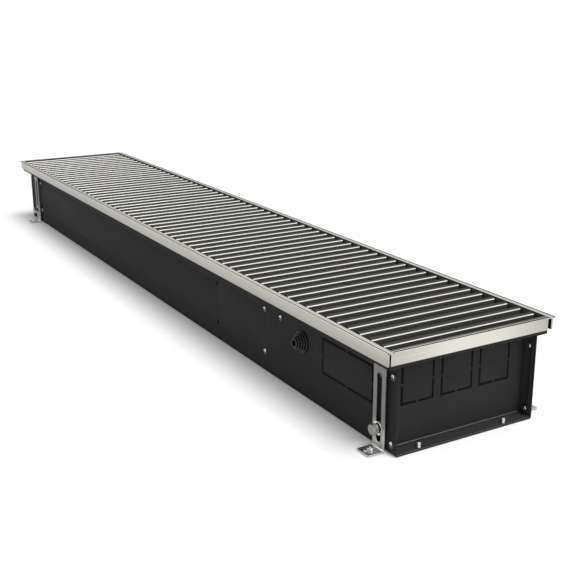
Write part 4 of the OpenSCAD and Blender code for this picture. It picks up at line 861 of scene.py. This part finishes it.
# Two hairpins of copper tube, one above the other, each bent round at the far end
TUBE_R, BEND_R, HAIRPIN_Y = 7.5 * MM, 30 * MM, -40 * MM
for node, z in (("hairpin_tube_lower", 26 * MM), ("hairpin_tube_upper", 64 * MM)):
    lo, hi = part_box(node)
    bend_x = lo.x + TUBE_R + BEND_R
    front, back = HAIRPIN_Y - BEND_R, HAIRPIN_Y + BEND_R
    bend = [(x, y, z) for x, y in arc(bend_x, HAIRPIN_Y, BEND_R, 270, 90, 20)]
    points = [(hi.x, front, z), (0, front, z)] + bend + [(0, back, z), (hi.x, back, z)]
    mesh = bpy.data.meshes.new(node + "_sweep")
    mesh.from_pydata(points, [(i, i + 1) for i in range(len(points) - 1)], [])
    piece = placed(node + "_sweep", mesh)
    grown(piece, tube, 40, Radius=TUBE_R, Sides=28, Material=copper_tube)
    settle(piece, "casing", [node])

# Pieces that keep the CAD's shape, with softened edges and their finish
for node, name, material, body, slot, width in (
        ("return_bend", "soldered_return_bend", copper_tube, "casing", "copper", 0.3),
        ("pipe_connector_supply", "supply_connector", turned_brass, "casing", "brass", 0.4),
        ("pipe_connector_return", "return_connector", turned_brass, "casing", "brass", 0.4),
        ("vent_valve", "vent_valve_body", turned_brass, "casing", "brass", 0.3),
        ("vent_screw", "vent_spindle", plated_fastener, "vent_screw_body", "bright_steel", 0.2),
        ("partition_plate", "partition_sheet", galvanised_sheet, "casing", "galvanised_sheet", 0.15),
        ("carrier_plate", "carrier_sheet", galvanised_sheet, "casing", "galvanised_sheet", 0.15),
        ("fan_housing", "fan_scroll_sheet", galvanised_sheet, "casing", "galvanised_sheet", 0.1),
        ("fan_impeller", "cross_flow_impeller", moulded_nylon, "impeller", "black_plastic", 0),
        ("fan_bearing", "rubber_bearing", moulded_rubber, "casing", "black_rubber", 0.3),
        ("fan_motor", "ribbed_motor", moulded_nylon, "casing", "black_plastic", 0.3),
        ("cable_saddle", "cable_saddle_angle", galvanised_sheet, "casing", "galvanised_sheet", 0.15),
        ("terminal_box", "terminal_box_base", moulded_abs, "casing", "grey_plastic", 0.3),
        ("terminal_box_lid", "terminal_box_cover", moulded_abs, "casing", "grey_plastic", 0.4),
        ("terminal_box_screws", "cover_screw_set", plated_fastener, "casing", "bright_steel", 0.1),
        ("foot_backing_plates", "backing_plate_set", plated_strip, "casing", "zinc_steel", 0.2),
        ("knock_out_seals", "seal_sheet_set", foam_painted_shade, "casing", "black_rubber", 0.2),
        ("trim_corner_keys", "corner_key_set", plated_strip, "casing", "zinc_steel", 0.15),
        ("grille_wires", "stringing_wires", plated_fastener, "grille", "bright_steel", 0.15)):
    softened(node, name, material, body, width)

# Soft strips along the inside of the frame, their lips raised above the CAD's top
LIP_RISE, LIP_H = 1.2 * MM, 0.5 * MM
for node, name in (("grille_rest_front", "rest_strip_front"), ("grille_rest_back", "rest_strip_back"),
                   ("end_guard_near", "guard_strip_near"), ("end_guard_far", "guard_strip_far")):
    strip = softened(node, name, moulded_rubber, "casing", 0.15)
    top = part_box(node)[1].z
    for vertex in strip.data.vertices:
        if vertex.co.z > top - LIP_H:
            vertex.co.z += LIP_RISE

# Camera, at the photograph's viewpoint
camera_data = bpy.data.cameras.new("photograph_view")
camera_data.sensor_width = 36
camera_data.lens = CAMERA_LENS
camera = placed("photograph_view", camera_data)
right, up = CAMERA_RIGHT.normalized(), -CAMERA_DOWN.normalized()
back = right.cross(up).normalized()
up = back.cross(right)
facing = Matrix((right, up, back)).transposed()
camera.matrix_world = Matrix.Translation(CAMERA_PLACE) @ facing.to_4x4()
bpy.context.scene.camera = camera

# Floor: white to the camera and in the metal, so that only the object's soft shadow shows on it. It
# lies just below the feet.
FLOOR_HALF, FLOOR_Z, FLOOR_TONE, FLOOR_GLOW = 30, -0.6 * MM, (0.80, 0.84), 0.12
floor_material = bpy.data.materials.new("white_studio_floor")
floor_material.use_nodes = True
tree = floor_material.node_tree
tree.nodes.clear()
rays = add(tree, "ShaderNodeLightPath")
seen = add(tree, "ShaderNodeMath", {"operation": "MAXIMUM"}, links={
    0: rays.outputs["Is Camera Ray"], 1: rays.outputs["Is Glossy Ray"]})
seen = add(tree, "ShaderNodeMath", {"operation": "MAXIMUM"}, links={
    0: seen.outputs[0], 1: rays.outputs["Is Transmission Ray"]})
grain = add(tree, "ShaderNodeTexNoise", values={"Scale": 60.0, "Detail": 2.0},
            links={"Vector": add(tree, "ShaderNodeTexCoord").outputs["Object"]})
tone = add(tree, "ShaderNodeMapRange", values={"To Min": FLOOR_TONE[0], "To Max": FLOOR_TONE[1]},
           links={"Value": grain.outputs["Fac"]})
matt = add(tree, "ShaderNodeBsdfDiffuse", links={"Color": tone.outputs["Result"]})
glow_level = add(tree, "ShaderNodeMath", {"operation": "MULTIPLY"}, {1: FLOOR_GLOW}, {0: seen.outputs[0]})
glow = add(tree, "ShaderNodeEmission", {}, {"Color": (1, 1, 1, 1)}, {"Strength": glow_level.outputs[0]})
both = add(tree, "ShaderNodeAddShader", links={0: matt.outputs[0], 1: glow.outputs[0]})
add(tree, "ShaderNodeOutputMaterial", links={"Surface": both.outputs[0]})
mesh = bpy.data.meshes.new("studio_floor")
mesh.from_pydata([(x * FLOOR_HALF, y * FLOOR_HALF, FLOOR_Z) for x, y in ((-1, -1), (1, -1), (1, 1), (-1, 1))],
                 [], [(0, 1, 2, 3)])
mesh.materials.append(floor_material)
floor = placed("studio_floor", mesh)

# World: white to the camera. Metal sees a studio: grey walls that turn into a white ceiling between
# two heights of the reflected direction. As a light it is dimmer and even.
WORLD_LIGHT, WALLS_SEEN, CEILING_SEEN = 0.28, 0.28, 1.15
WALLS_END, CEILING_START = 0.15, 0.6
world = bpy.data.worlds.new("white_studio")
world.use_nodes = True
tree = world.node_tree
tree.nodes.clear()
rays = add(tree, "ShaderNodeLightPath")
shiny = add(tree, "ShaderNodeMath", {"operation": "MAXIMUM"}, links={
    0: rays.outputs["Is Glossy Ray"], 1: rays.outputs["Is Transmission Ray"]})
way = add(tree, "ShaderNodeSeparateXYZ", links={
    "Vector": add(tree, "ShaderNodeTexCoord").outputs["Generated"]})
walls = add(tree, "ShaderNodeMapRange", {"interpolation_type": "SMOOTHSTEP"},
            {"From Min": WALLS_END, "From Max": CEILING_START, "To Min": WALLS_SEEN, "To Max": CEILING_SEEN},
            {"Value": way.outputs["Z"]})
level = add(tree, "ShaderNodeMapRange", values={"To Min": WORLD_LIGHT},
            links={"Value": shiny.outputs[0], "To Max": walls.outputs["Result"]})
level = add(tree, "ShaderNodeMapRange", values={"To Max": 1.0},
            links={"Value": rays.outputs["Is Camera Ray"], "To Min": level.outputs["Result"]})
sky = add(tree, "ShaderNodeBackground", {}, {"Color": (1, 1, 1, 1)}, {"Strength": level.outputs["Result"]})
add(tree, "ShaderNodeOutputWorld", links={"Surface": sky.outputs[0]})
bpy.context.scene.world = world


def soft_sun(name, toward, spread_degrees, strength):
    """An even, soft light that comes from a direction, as from a wide studio ceiling panel."""
    data = bpy.data.lights.new(name, "SUN")
    data.angle = math.radians(spread_degrees)
    data.energy = strength
    lamp = placed(name, data)
    lamp.rotation_euler = Vector(toward).to_track_quat("Z", "Y").to_euler()
    return lamp


# Metal shows the white ceiling in place of the key lamp itself
soft_sun("key_panel", (0.32, 0.1, 0.93), 30, 2.5).visible_glossy = False
soft_sun("near_end_panel", (0.9, 0.05, 0.42), 40, 0.9)
soft_sun("front_fill", (-0.1, -0.95, 0.3), 60, 0.3)

bpy.context.scene.view_settings.view_transform = "Standard"
